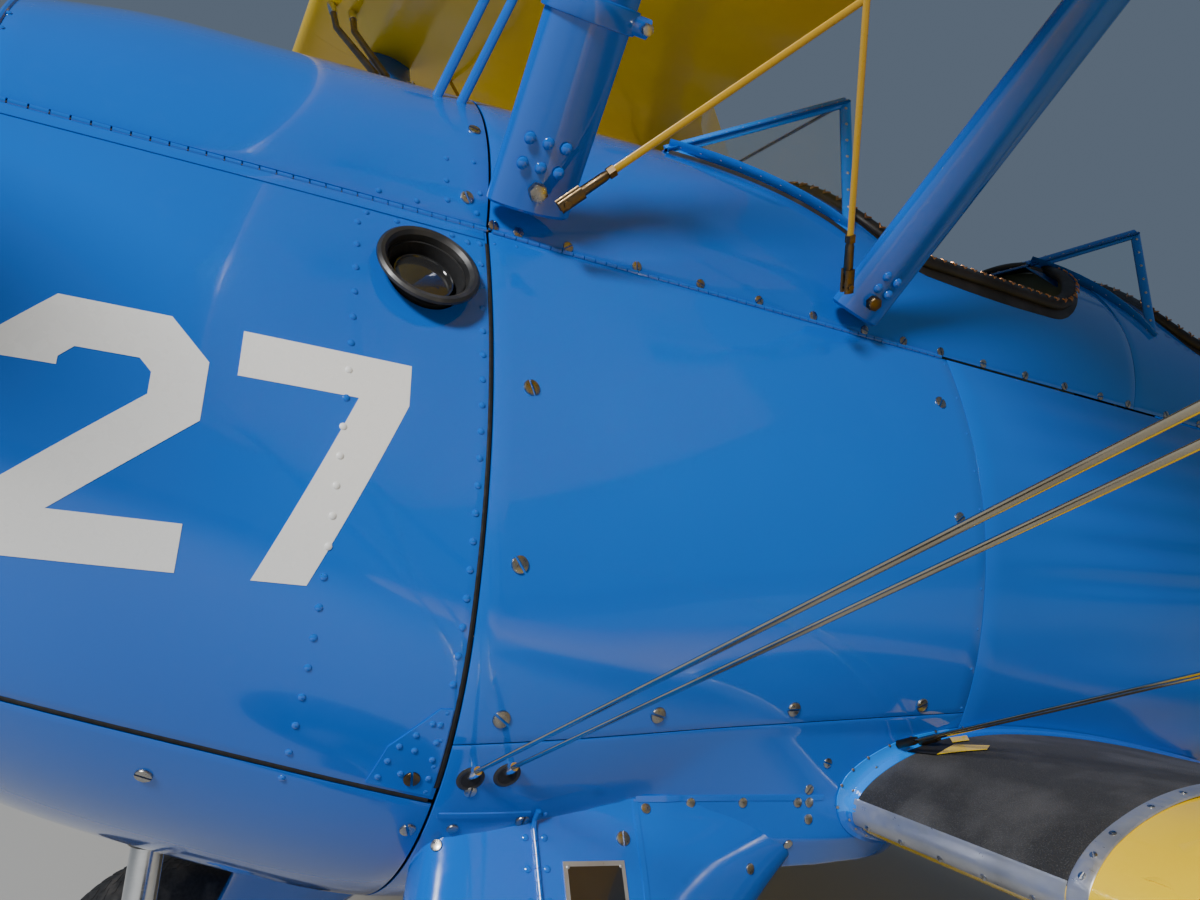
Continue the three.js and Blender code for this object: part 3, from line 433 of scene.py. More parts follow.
class Recipe:
    """A material under construction, on the piece's object coordinates."""

    def __init__(self, name: str) -> None:
        """Starts a material with one shader.

        Args:
            name: The material's name.
        """
        self.material = bpy.data.materials.new(name)
        self.material.use_nodes = True
        self.tree = self.material.node_tree
        self.shader = self.tree.nodes["Principled BSDF"]
        self.place = self.tree.nodes.new("ShaderNodeTexCoord").outputs["Object"]

    def node(self, kind: str, props: dict | None = None, **inputs: object) -> bpy.types.Node:
        """Adds a node, with its properties and its inputs set or linked.

        Args:
            kind: The node's type.
            props: Properties of the node.
            inputs: Values or sockets by input name, with _ for a space.

        Returns:
            The node.
        """
        made = self.tree.nodes.new(kind)
        for key, value in (props or {}).items():
            setattr(made, key, value)
        for key, value in inputs.items():
            self.feed(made.inputs[int(key[1:]) if key[1:].isdigit() else key.replace("_", " ")],
                      value)
        return made

    def feed(self, socket: bpy.types.NodeSocket, value: object) -> None:
        """Sets a socket, or links another one to it.

        Args:
            socket: The input socket.
            value: A value, or an output socket.
        """
        if isinstance(value, bpy.types.NodeSocket):
            self.tree.links.new(value, socket)
        else:
            socket.default_value = value

    def noise(self, scale: float, detail: float = 3.0,
              stretch: Point = (1, 1, 1)) -> bpy.types.NodeSocket:
        """A noise pattern in object space.

        Args:
            scale: Waves per metre.
            detail: Octaves.
            stretch: Scale along each axis.

        Returns:
            The pattern's factor.
        """
        mapped = self.node("ShaderNodeMapping", Vector=self.place, Scale=stretch)
        return self.node("ShaderNodeTexNoise", Vector=mapped.outputs[0], Scale=scale,
                         Detail=detail).outputs[0]

    def ramp(self, factor: bpy.types.NodeSocket, low: float, high: float, to_low: float,
             to_high: float) -> bpy.types.NodeSocket:
        """Maps a factor's range onto another one.

        Args:
            factor: The factor.
            low: The factor's low end.
            high: The factor's high end.
            to_low: The value at the low end.
            to_high: The value at the high end.

        Returns:
            The mapped value.
        """
        made = self.node("ShaderNodeMapRange", Value=factor, From_Min=low, From_Max=high,
                         To_Min=to_low, To_Max=to_high)
        return made.outputs[0]

    def mix(self, factor: object, a: object, b: object) -> bpy.types.NodeSocket:
        """Mixes two colours.

        Args:
            factor: The share of the second colour.
            a: The first colour.
            b: The second colour.

        Returns:
            The mixed colour.
        """
        made = self.node("ShaderNodeMix", {"data_type": "RGBA"})
        self.feed(made.inputs["Factor"], factor)
        for socket, value in zip([s for s in made.inputs if s.type == "RGBA"], (a, b)):
            self.feed(socket, value)
        return next(s for s in made.outputs if s.type == "RGBA")

    def bump(self, *layers: tuple[bpy.types.NodeSocket, float, float]) -> None:
        """Stacks bumps on the shader's normal.

        Args:
            layers: Height pattern, strength and distance in metres of each.
        """
        normal: object = None
        for height, strength, distance in layers:
            made = self.node("ShaderNodeBump", Height=height, Strength=strength, Distance=distance)
            if normal is not None:
                self.feed(made.inputs["Normal"], normal)
            normal = made.outputs[0]
        self.feed(self.shader.inputs["Normal"], normal)

    def set(self, **values: object) -> None:
        """Sets or links the shader's sockets by name, with _ for a space."""
        for key, value in values.items():
            self.feed(self.shader.inputs[key.replace("_", " ")], value)


Colour = tuple[float, float, float, float]


@dataclass(frozen=True)
class GlossPaint:
    """Hand-rubbed enamel on sheet metal: clear gloss over a slight ripple and a tone drift."""

    name: str
    colour: Colour
    deep: Colour
    rough: float = 0.2
    coat: float = 0.85
    ripple: float = 0.25

    def material(self) -> bpy.types.Material:
        """Builds the material.

        Returns:
            The material.
        """
        r = Recipe(self.name)
        tone = r.ramp(r.noise(1.7, 2.0), 0.3, 0.7, 0.0, 1.0)
        dust = r.ramp(r.noise(38.0, 6.0), 0.55, 0.85, 0.0, 0.12)
        pale = tuple(min(1.0, c * 0.9 + 0.03) for c in self.colour[:3]) + (1.0,)
        r.set(Base_Color=r.mix(dust, r.mix(tone, self.colour, self.deep), pale))
        r.set(Roughness=r.ramp(r.noise(55.0, 5.0), 0.35, 0.75, self.rough * 0.75,
                               self.rough * 1.5))
        r.set(Coat_Weight=self.coat, Coat_Roughness=0.035, IOR=1.5)
        r.bump((r.noise(7.0, 2.0), self.ripple, 0.0016), (r.noise(900.0, 2.0), 0.05, 0.0002))
        return r.material


@dataclass(frozen=True)
class DopedFabric:
    """Painted cloth over ribs: enamel with the weave just showing through."""

    name: str
    colour: Colour
    deep: Colour
    rough: float = 0.26

    def material(self) -> bpy.types.Material:
        """Builds the material.

        Returns:
            The material.
        """
        r = Recipe(self.name)
        tone = r.ramp(r.noise(2.3, 3.0), 0.3, 0.7, 0.0, 1.0)
        r.set(Base_Color=r.mix(tone, self.colour, self.deep))
        r.set(Roughness=r.ramp(r.noise(40.0, 5.0), 0.3, 0.8, self.rough * 0.8, self.rough * 1.4))
        r.set(Coat_Weight=0.25, Coat_Roughness=0.06)
        threads = []
        for turn in ((0.0, 0.0, 0.0), (0.0, 0.0, math.pi / 2)):
            mapped = r.node("ShaderNodeMapping", Vector=r.place, Rotation=turn)
            threads.append(r.node("ShaderNodeTexWave", Vector=mapped.outputs[0], Scale=260.0,
                                  Distortion=0.4).outputs[1])
        cloth = r.node("ShaderNodeMath", {"operation": "ADD"}, _0=threads[0], _1=threads[1])
        r.bump((r.noise(5.0, 2.0), 0.2, 0.002), (cloth.outputs[0], 0.10, 0.0001))
        return r.material


@dataclass(frozen=True)
class Metal:
    """Bare metal with the marks of its making, stretched along one axis."""

    name: str
    colour: Colour
    dull: Colour
    rough: float = 0.3
    grain: Point = (1, 1, 1)
    scale: float = 90.0
    metallic: float = 1.0

    def material(self) -> bpy.types.Material:
        """Builds the material.

        Returns:
            The material.
        """
        r = Recipe(self.name)
        grain = r.noise(self.scale, 5.0, self.grain)
        stain = r.ramp(r.noise(14.0, 4.0), 0.4, 0.72, 0.0, 1.0)
        r.set(Base_Color=r.mix(stain, self.colour, self.dull), Metallic=self.metallic)
        r.set(Roughness=r.ramp(grain, 0.3, 0.75, self.rough * 0.7, self.rough * 1.5))
        r.bump((grain, 0.12, 0.0003))
        return r.material


@dataclass(frozen=True)
class Rubber:
    """Black rubber, with a bloom of dust in its pores."""

    name: str
    colour: Colour = (0.018, 0.018, 0.019, 1.0)
    dusty: Colour = (0.075, 0.07, 0.065, 1.0)
    rough: float = 0.55
    grit: float = 0.3

    def material(self) -> bpy.types.Material:
        """Builds the material.

        Returns:
            The material.
        """
        r = Recipe(self.name)
        dust = r.ramp(r.noise(22.0, 7.0), 0.5, 0.9, 0.0, 1.0)
        r.set(Base_Color=r.mix(dust, self.colour, self.dusty))
        r.set(Roughness=r.ramp(r.noise(140.0, 4.0), 0.3, 0.8, self.rough * 0.8,
                               min(1.0, self.rough * 1.35)))
        r.bump((r.noise(700.0, 3.0), self.grit, 0.0004))
        return r.material


@dataclass(frozen=True)
class Grit:
    """Sanded anti-slip paint, paler where it is trodden on: from foot[0] to foot[1] along y."""

    name: str
    foot: Point2

    def material(self) -> bpy.types.Material:
        """Builds the material.

        Returns:
            The material.
        """
        r = Recipe(self.name)
        aft = r.node("ShaderNodeSeparateXYZ", Vector=r.place).outputs[1]
        trodden = r.ramp(aft, *self.foot, 0.0, 0.55)
        patches = r.ramp(r.noise(9.0, 6.0), 0.45, 0.8, 0.0, 1.0)
        worn = r.node("ShaderNodeMath", {"operation": "ADD", "use_clamp": True}, _0=patches,
                      _1=trodden).outputs[0]
        grains = r.node("ShaderNodeTexVoronoi", Vector=r.place, Scale=480.0).outputs[0]
        speck = r.ramp(grains, 0.0, 0.35, 0.9, 0.0)
        base = r.mix(worn, (0.016, 0.016, 0.016, 1), (0.085, 0.082, 0.078, 1))
        r.set(Base_Color=r.mix(r.node("ShaderNodeMath", {"operation": "MULTIPLY"}, _0=speck,
                                      _1=0.3).outputs[0], base, (0.35, 0.35, 0.34, 1)))
        r.set(Roughness=r.ramp(worn, 0.0, 1.0, 0.82, 0.6))
        r.bump((grains, 1.0, 0.0012))
        return r.material


@dataclass(frozen=True)
class Leather:
    """Padded hide, creased and rubbed."""

    name: str
    colour: Colour
    worn: Colour

    def material(self) -> bpy.types.Material:
        """Builds the material.

        Returns:
            The material.
        """
        r = Recipe(self.name)
        cells = r.node("ShaderNodeTexVoronoi", {"feature": "DISTANCE_TO_EDGE"}, Vector=r.place,
                       Scale=420.0).outputs[0]
        rubbed = r.ramp(r.noise(16.0, 4.0), 0.45, 0.75, 0.0, 1.0)
        r.set(Base_Color=r.mix(rubbed, self.colour, self.worn))
        r.set(Roughness=r.ramp(rubbed, 0.0, 1.0, 0.6, 0.38))
        r.bump((r.noise(30.0, 3.0), 0.3, 0.001), (cells, 0.35, 0.0004))
        return r.material


@dataclass(frozen=True)
class Glass:
    """Clear moulded sheet for the windshields, with a trace of dust."""

    name: str

    def material(self) -> bpy.types.Material:
        """Builds the material.

        Returns:
            The material.
        """
        r = Recipe(self.name)
        r.set(Base_Color=(0.93, 0.97, 0.98, 1), IOR=1.45, Transmission_Weight=1.0)
        r.set(Roughness=r.ramp(r.noise(30.0, 5.0), 0.4, 0.9, 0.0, 0.10))
        return r.material


class Finish(Enum):
    """The aircraft's finishes."""

    BLUE = GlossPaint("blue_enamel", (0.0015, 0.130, 0.60, 1), (0.001, 0.108, 0.52, 1), 0.12, 0.6)
    BLUE_CLOTH = DopedFabric("blue_doped_cloth", (0.0015, 0.122, 0.56, 1), (0.001, 0.100, 0.49, 1),
                             0.17)
    # A lighter copy of the blue enamel: painted highlight on sunlit blue parts.
    PALE_BLUE = GlossPaint("pale_blue_enamel", (0.004, 0.24, 0.86, 1), (0.003, 0.20, 0.78, 1),
                           0.14)
    YELLOW = DopedFabric("yellow_doped_cloth", (0.98, 0.66, 0.0, 1), (0.94, 0.58, 0.0, 1), 0.18)
    YELLOW_METAL = GlossPaint("yellow_enamel", (0.98, 0.66, 0.0, 1), (0.94, 0.60, 0.0, 1), 0.18)
    WHITE = GlossPaint("white_enamel", (0.83, 0.83, 0.81, 1), (0.78, 0.79, 0.79, 1), 0.28, 0.5,
                       0.1)
    MUSTARD = GlossPaint("mustard_wire_paint", (0.62, 0.38, 0.03, 1), (0.50, 0.30, 0.025, 1), 0.3,
                         0.4, 0.1)
    ALUMINIUM = Metal("rolled_aluminium", (0.50, 0.50, 0.50, 1), (0.36, 0.36, 0.355, 1), 0.38,
                      (1, 3, 1), 60.0, 0.7)
    POLISHED = Metal("polished_alloy", (0.80, 0.81, 0.82, 1), (0.66, 0.67, 0.68, 1), 0.16,
                     (1, 1, 9))
    STEEL = Metal("plated_steel", (0.46, 0.45, 0.42, 1), (0.27, 0.24, 0.2, 1), 0.3, (1, 1, 1),
                  240.0)
    WIRE_STEEL = Metal("rolled_wire_steel", (0.52, 0.47, 0.36, 1), (0.40, 0.34, 0.24, 1), 0.16,
                       (1, 1, 1), 20.0)
    BRONZE = Metal("browned_bronze", (0.16, 0.11, 0.055, 1), (0.075, 0.05, 0.028, 1), 0.36,
                   (1, 1, 1), 200.0)
    COPPER = Metal("copper_wire", (0.72, 0.36, 0.17, 1), (0.5, 0.24, 0.1, 1), 0.35)
    CAST = Metal("cast_grey", (0.16, 0.165, 0.17, 1), (0.09, 0.09, 0.09, 1), 0.5, (1, 1, 1), 160.0,
                 0.7)
    FIN_BLACK = Metal("baked_black", (0.025, 0.025, 0.027, 1), (0.05, 0.045, 0.04, 1), 0.45,
                      (1, 1, 1), 120.0, 0.5)
    HOT_STEEL = Metal("heat_browned_steel", (0.33, 0.22, 0.15, 1), (0.16, 0.13, 0.13, 1), 0.42,
                      (1, 1, 1), 60.0)
    RUBBER = Rubber("black_rubber", rough=0.4, grit=0.12)
    TYRE = Rubber("tyre_rubber", (0.022, 0.022, 0.023, 1), (0.11, 0.10, 0.09, 1), 0.75, 0.5)
    GLOSS_BLACK = GlossPaint("gloss_black", (0.012, 0.012, 0.013, 1), (0.02, 0.02, 0.02, 1), 0.12,
                             0.9, 0.05)
    # Near-black: painted shade in holes, wells and gaps, and the dials' own black faces.
    DARK = Rubber("dark_inside", (0.006, 0.006, 0.007, 1), (0.02, 0.02, 0.02, 1), 0.8, 0.2)
    WALKWAY = Grit("walkway_grit", (-2.15, -1.7))
    LEATHER = Leather("black_padding", (0.010, 0.009, 0.009, 1), (0.022, 0.019, 0.018, 1))
    BROWN_LEATHER = Leather("brown_hide", (0.11, 0.05, 0.022, 1), (0.2, 0.11, 0.055, 1))
    GREEN = GlossPaint("interior_green", (0.13, 0.17, 0.09, 1), (0.10, 0.14, 0.08, 1), 0.45, 0.1,
                       0.1)
    PANEL_BLACK = GlossPaint("crackle_black", (0.015, 0.015, 0.016, 1), (0.03, 0.03, 0.03, 1), 0.5,
                             0.1, 0.5)
    GLASS = Glass("clear_pane")

    def material(self) -> bpy.types.Material:
        """The finish's material, made once."""
        return bpy.data.materials.get(self.value.name) or self.value.material()


# Meshes modelled with Blender's operators


def select_only(obj: bpy.types.Object) -> None:
    """Makes one object the only selected and active one.

    Args:
        obj: The object.
    """
    bpy.ops.object.select_all(action="DESELECT")
    obj.select_set(True)
    bpy.context.view_layer.objects.active = obj


def linked(name: str, data: bpy.types.ID) -> bpy.types.Object:
    """Puts a new object with the given data in the scene.

    Args:
        name: Its name.
        data: Its mesh, lamp or camera.

    Returns:
        The object.
    """
    obj = bpy.data.objects.new(name, data)
    bpy.context.scene.collection.objects.link(obj)
    return obj


@contextmanager
def editing() -> Iterator[None]:
    """Opens the active mesh in edit mode with all of it selected, and closes it again.

    Yields:
        Nothing; the mesh is open meanwhile.
    """
    bpy.ops.object.mode_set(mode="EDIT")
    bpy.ops.mesh.select_all(action="SELECT")
    yield
    bpy.ops.object.mode_set(mode="OBJECT")


def turn_towards(obj: bpy.types.Object, way: Sequence[float]) -> None:
    """Flips an open mesh that faces away from a direction of the row frame.

    Args:
        obj: The mesh object.
        way: The direction.
    """
    total = sum((p.normal * p.area for p in obj.data.polygons), Vector())
    if total.dot(Vector(way)) < 0:
        obj.data.flip_normals()


@dataclass
class Stamp:
    """One small shape that is copied many times: its corners in millimetres and its faces."""

    corners: Array
    faces: list[tuple[int, ...]]


@dataclass
class Section:
    """A sub-assembly, with what makes, dresses and hangs its pieces in the aircraft's axes."""

    place: Placement
    nodes: dict[str, bpy.types.Object]
    made: list[bpy.types.Object] = field(default_factory=list)

    def build(self) -> None:
        """Builds the section's pieces."""
        raise NotImplementedError

    def move(self, obj: bpy.types.Object, points: Array) -> None:
        """Puts a mesh's corners at points given in the aircraft's millimetres."""
        obj.data.vertices.foreach_set("co", self.place.row(points).astype(np.float32).ravel())
        obj.data.update()

    def grid(self, name: str, points: Array, weld: bool = False,
             caps: bool = False) -> bpy.types.Object:
        """Lays a grid primitive over a net of points.

        Args:
            name: The piece's name.
            points: The net, rows by columns by three.
            weld: Joins corners that coincide, as where the net closes on itself.
            caps: Fills the open ends.

        Returns:
            The mesh object.
        """
        points = np.asarray(points, float)
        rows, columns = points.shape[:2]
        bpy.ops.object.select_all(action="DESELECT")
        bpy.ops.mesh.primitive_grid_add(x_subdivisions=columns - 1, y_subdivisions=rows - 1,
                                        size=2)
        obj = bpy.context.object
        obj.name = obj.data.name = name
        flat = np.empty(len(obj.data.vertices) * 3, np.float32)
        obj.data.vertices.foreach_get("co", flat)
        at = flat.reshape(-1, 3)
        i = np.rint((at[:, 0] + 1) / 2 * (columns - 1)).astype(int)
        j = np.rint((at[:, 1] + 1) / 2 * (rows - 1)).astype(int)
        self.move(obj, points[j, i])
        with editing():
            if weld:
                bpy.ops.mesh.remove_doubles(threshold=WELD)
            if caps:
                bpy.ops.mesh.fill_holes(sides=0)
                bpy.ops.mesh.select_all(action="SELECT")
            if weld or caps:
                bpy.ops.mesh.normals_make_consistent(inside=False)
        return obj

    def loft(self, name: str, rings: Array) -> bpy.types.Object:
        """A closed body through rings of points with the same count.

        Args:
            name: The piece's name.
            rings: The rings, one per row.

        Returns:
            The mesh object.
        """
        rings = np.asarray(rings, float)
        return self.grid(name, np.concatenate([rings, rings[:, :1]], 1), weld=True, caps=True)

    def shell(self, name: str, points: Array, outward: Array, thick: float,
              edge: float = 0.8) -> bpy.types.Object:
        """A sheet of metal through a net of points, grown inwards to its thickness.

        Args:
            name: The piece's name.
            points: The net on the outer face.
            outward: A direction that its middle roughly faces, in the aircraft's axes.
            thick: Thickness of the sheet.
            edge: Radius of its rounded edges.

        Returns:
            The mesh object.
        """
        points = np.asarray(points, float)
        obj = self.grid(name, points)
        middle = points[points.shape[0] // 2, points.shape[1] // 2]
        middle = Vector(self.place.row(middle)[0])
        near = min(obj.data.polygons, key=lambda p: (p.center - middle).length)
        if near.normal.dot(Vector(self.place.turn(outward)[0])) < 0:
            with editing():
                bpy.ops.mesh.flip_normals()
        self.modify(obj, "SOLIDIFY", thickness=thick / 1000, offset=-1)
        if edge:
            self.modify(obj, "BEVEL", width=edge / 1000, segments=2, limit_method="ANGLE",
                        angle_limit=math.radians(60))
        return obj

    def modify(self, obj: bpy.types.Object, kind: str, **settings: object) -> None:
        """Adds a modifier, sets it and applies it.

        Args:
            obj: The object.
            kind: The modifier's type.
            settings: Its settings by name.
        """
        select_only(obj)
        modifier = obj.modifiers.new("step", kind)
        for key, value in settings.items():
            setattr(modifier, key, value)
        bpy.ops.object.modifier_apply(modifier=modifier.name)

    def cut(self, obj: bpy.types.Object, tool: bpy.types.Object, mode: str = "DIFFERENCE") -> None:
        """Cuts an object with a tool, which is then thrown away."""
        self.modify(obj, "BOOLEAN", object=tool, operation=mode, solver="EXACT")
        bpy.data.objects.remove(tool)

    def tube(self, name: str, path: Array, radius: Array | float, sides: int = 12,
             flat: float = 1.0, wide: Array | None = None) -> bpy.types.Object:
        """A round or flattened bar along a path.

        Args:
            name: The piece's name.
            path: Points along the middle.
            radius: Radius at each point, or everywhere.
            sides: Facets round the bar.
            flat: Thickness over width.
            wide: The direction of the width, where it isn't round.

        Returns:
            The mesh object.
        """
        path = np.asarray(path, float)
        radius = np.broadcast_to(np.asarray(radius, float), (len(path),))
        along = unit(np.gradient(path, axis=0))
        first = np.array([0, 0, 1.0]) if wide is None else np.asarray(wide, float)
        if wide is None and abs(along[0] @ first) > 0.9:
            first = np.array([1.0, 0, 0])
        rings = []
        angles = circle(sides)
        for point, direction, r in zip(path, along, radius):
            first = unit(first - direction * (first @ direction))
            second = np.cross(direction, first)
            rings.append(point + np.outer(np.cos(angles) * r, first)
                         + np.outer(np.sin(angles) * r * flat, second))
        return self.loft(name, rings)

    def turned(self, name: str, centre: Array, axis: Array, profile: Sequence[tuple[float, float]],
               sides: int = 32, closed: bool = True) -> bpy.types.Object:
        """A body of revolution.

        Args:
            name: The piece's name.
            centre: The origin of the profile.
            axis: The direction of the profile's second column.
            profile: Radius and distance along the axis, row by row.
            sides: Facets round the axis.
            closed: Fills both ends, or else joins the last row to the first, as in a ring.

        Returns:
            The mesh object.
        """
        axis = unit(np.asarray(axis, float))
        one = unit(np.cross(axis, [0.31, 0.17, 0.93]))
        two = np.cross(axis, one)
        angles = circle(sides)
        rows = list(profile) + ([] if closed else [profile[0]])
        rings = np.array([np.asarray(centre) + axis * h
                          + r * (np.outer(np.cos(angles), one) + np.outer(np.sin(angles), two))
                          for r, h in rows])
        if closed:
            return self.loft(name, rings)
        return self.grid(name, np.concatenate([rings, rings[:, :1]], 1), weld=True)

    def block(self, name: str, corners: Array, edge: float = 0.6) -> bpy.types.Object:
        """A six-sided block from its two four-cornered ends, with rounded edges.

        Args:
            name: The piece's name.
            corners: Two rings of four corners.
            edge: Radius of the edges.

        Returns:
            The mesh object.
        """
        obj = self.loft(name, np.asarray(corners, float))
        if edge:
            self.modify(obj, "BEVEL", width=edge / 1000, segments=2, limit_method="ANGLE",
                        angle_limit=math.radians(40))
        return obj

    def patch(self, name: str, outline: Array, on: Callable[[Array, Array], Array], thick: float,
              cell: float = 22.0, outward: Array = (1, 0, 0)) -> bpy.types.Object:
        """A thin flat-cut piece laid on a curved surface.

        Args:
            name: The piece's name.
            outline: The piece's outline in two flat coordinates.
            on: Gives points on the surface from the two coordinates.
            thick: How far it stands off the surface.
            cell: Size of the cells that follow the curve.
            outward: The direction it faces.

        Returns:
            The mesh object.
        """
        flat = np.asarray(outline, float)
        bpy.ops.object.select_all(action="DESELECT")
        bpy.ops.mesh.primitive_circle_add(vertices=len(flat), fill_type="NGON")
        obj = bpy.context.object
        obj.name = obj.data.name = name
        obj.data.vertices.foreach_set("co", np.c_[flat,
                                                  np.zeros(len(flat))].astype(np.float32).ravel())
        with editing():
            for axis in (0, 1):
                low, high = flat[:, axis].min(), flat[:, axis].max()
                for k in range(1, int((high - low) / cell) + 1):
                    bpy.ops.mesh.select_all(action="SELECT")
                    spot, normal = [0.0, 0.0, 0.0], [0.0, 0.0, 0.0]
                    spot[axis], normal[axis] = low + k * cell, 1.0
                    bpy.ops.mesh.bisect(plane_co=spot, plane_no=normal)
        found = np.empty(len(obj.data.vertices) * 3, np.float32)
        obj.data.vertices.foreach_get("co", found)
        found = found.reshape(-1, 3)
        self.move(obj, on(found[:, 0], found[:, 1]))
        turn_towards(obj, self.place.turn(outward)[0])
        self.modify(obj, "SOLIDIFY", thickness=thick / 1000, offset=1)
        return obj

    def stamp(self, kind: str) -> Stamp:
        """Models one small fastener or fitting and takes its shape.

        Args:
            kind: rivet, screw, slot or hex.

        Returns:
            The shape, one unit across its radius, standing on z = 0.
        """
        bpy.ops.object.select_all(action="DESELECT")
        if kind == "rivet":
            bpy.ops.mesh.primitive_uv_sphere_add(segments=10, ring_count=6, radius=1)
        elif kind == "hex":
            bpy.ops.mesh.primitive_cylinder_add(vertices=6, radius=1, depth=1.1,
                                                location=(0, 0, 0.5))
        else:
            bpy.ops.mesh.primitive_cylinder_add(vertices=20, radius=1, depth=0.5)
        obj = bpy.context.object
        bpy.ops.object.transform_apply(location=True, rotation=True, scale=True)
        if kind == "rivet":
            with editing():
                bpy.ops.transform.resize(value=(1, 1, 0.55))
                bpy.ops.mesh.bisect(plane_co=(0, 0, -0.05), plane_no=(0, 0, 1), clear_inner=True,
                                    use_fill=True)
        else:
            self.modify(obj, "BEVEL", width=0.14, segments=2, limit_method="ANGLE",
                        angle_limit=math.radians(40))
        if kind == "slot":
            bpy.ops.object.select_all(action="DESELECT")
            bpy.ops.mesh.primitive_cube_add(size=1, location=(0, 0, 0.25))
            tool = bpy.context.object
            bpy.ops.transform.resize(value=(2.4, 0.3, 0.7))
            bpy.ops.object.transform_apply(location=True, rotation=True, scale=True)
            self.cut(obj, tool)
        corners = np.array([v.co for v in obj.data.vertices])
        faces = [tuple(p.vertices) for p in obj.data.polygons]
        bpy.data.objects.remove(obj)
        return Stamp(corners, faces)

    def scatter(self, name: str, stamp: Stamp, points: Array, normals: Array,
                radius: float | Array, turn: Point2 = (0.0, 0.0)) -> bpy.types.Object:
        """Sets copies of a small shape at points, each standing on its normal.

        Args:
            name: The piece's name.
            stamp: The shape.
            points: Places.
            normals: The direction that each copy stands in, or one for all.
            radius: The copies' radius.
            turn: The first copy's angle round its normal, and the step to the next one's.

        Returns:
            One mesh with all the copies.
        """
        points = np.asarray(points, float).reshape(-1, 3)
        normals = unit(np.broadcast_to(np.asarray(normals, float).reshape(-1, 3), points.shape))
        size = np.broadcast_to(np.asarray(radius, float), (len(points),))
        corners, faces = [], []
        for k, (p, n, r) in enumerate(zip(points, normals, size)):
            one = unit(np.cross(n, [0.0, 1.0, 0.0] if abs(n[1]) < 0.9 else [1.0, 0, 0]))
            two = np.cross(n, one)
            a = turn[0] + turn[1] * k
            u, v = one * math.cos(a) + two * math.sin(a), two * math.cos(a) - one * math.sin(a)
            base = len(corners) * len(stamp.corners)
            corners.append(p + r * (stamp.corners @ np.array([u, v, n])))
            faces.extend(tuple(base + i for i in f) for f in stamp.faces)
        mesh = bpy.data.meshes.new(name)
        mesh.from_pydata(self.place.row(np.concatenate(corners)).tolist(), [], faces)
        return linked(name, mesh)

    def copy_node(self, name: str, node: str) -> bpy.types.Object:
        """Takes a copy of a CAD node's mesh, with its loose triangles merged.

        Args:
            name: The piece's name.
            node: The node's name.

        Returns:
            The mesh object.
        """
        obj = linked(name, self.nodes[node].data.copy())
        obj.data.materials.clear()
        select_only(obj)
        with editing():
            bpy.ops.mesh.remove_doubles(threshold=WELD)
        return obj

    def mirrored(self, obj: bpy.types.Object, name: str) -> bpy.types.Object:
        """A copy of a piece on the other side of the aircraft, facing out.

        Args:
            obj: The piece.
            name: The copy's name.

        Returns:
            The copy.
        """
        twin = linked(name, obj.data.copy())
        twin.data.transform(Matrix.Scale(-1, 4, (1, 0, 0)))
        twin.data.flip_normals()
        return twin

    def joined(self, name: str, parts: Sequence[bpy.types.Object]) -> bpy.types.Object:
        """Joins pieces into one mesh.

        Args:
            name: Its name.
            parts: The pieces.

        Returns:
            The joined piece.
        """
        bpy.ops.object.select_all(action="DESELECT")
        for part in parts:
            part.select_set(True)
        bpy.context.view_layer.objects.active = parts[0]
        if len(parts) > 1:
            bpy.ops.object.join()
        parts[0].name = parts[0].data.name = name
        return parts[0]

    def dress(self, obj: bpy.types.Object, finish: Finish, body: str = "airframe",
              slot: str | None = None, replaces: Sequence[str] = (),
              smooth: float = 35.0) -> bpy.types.Object:
        """Finishes a piece and hangs it on its body.

        Args:
            obj: The piece.
            finish: Its finish.
            body: The CAD body that it rides on.
            slot: The record's material slot that it belongs to; not used.
            replaces: The CAD nodes that it stands for.
            smooth: The angle in degrees under which edges are shaded smooth, or 0 for none.

        Returns:
            The piece.
        """
        obj.data.materials.clear()
        obj.data.materials.append(finish.material())
        if smooth:
            select_only(obj)
            bpy.ops.object.shade_smooth_by_angle(angle=math.radians(smooth))
        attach(obj, body)
        if replaces:
            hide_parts(*replaces)
        self.made.append(obj)
        return obj

    def both(self, obj: bpy.types.Object | list[bpy.types.Object], base: str, finish: Finish,
             body: str = "airframe", slot: str | None = None, replaces: str | None = None,
             smooth: float = 35.0) -> None:
        """Dresses a piece made for the left side, and its twin on the right.

        Args:
            obj: The left piece, or parts to be joined to it.
            base: The pieces' name without the side's word, which stars elsewhere stand for.
            finish: Their finish.
            body: The body they ride on.
            slot: The record's slot.
            replaces: The node they stand for.
            smooth: The smoothing angle in degrees.
        """
        if isinstance(obj, list):
            obj = self.joined(base, obj)
        twin = self.mirrored(obj, base + "_right")
        obj.name = obj.data.name = base + "_left"
        for piece, side in ((obj, Side.LEFT), (twin, Side.RIGHT)):
            self.dress(piece, finish, body.replace("*", side.word), slot,
                       [replaces.replace("*", side.word)] if replaces else (), smooth)

    def heads(self, name: str, kind: str, spots: tuple[Array, Array], radius: float,
              finish: Finish, slot: str | None = "steel", body: str = "airframe",
              turn: Point2 = (0.0, 0.0)) -> None:
        """Sets fasteners of one kind on the left side and their twins on the right.

        Args:
            name: The pieces' name without the side.
            kind: What stamp() makes.
            spots: Their places and the directions they stand in.
            radius: Their radius.
            finish: Their finish.
            slot: The record's slot.
            body: The body they ride on.
            turn: The first one's angle round its normal, and the step to the next one's.
        """
        obj = self.scatter(name, self.stamp(kind), *spots, radius, turn)
        self.both(obj, name, finish, body, slot)


def spread(a: float, b: float, pitch: float) -> Array:
    """Evenly spaced stations from a to b, about a pitch apart."""
    return np.linspace(a, b, max(2, int(round(abs(b - a) / pitch)) + 1))


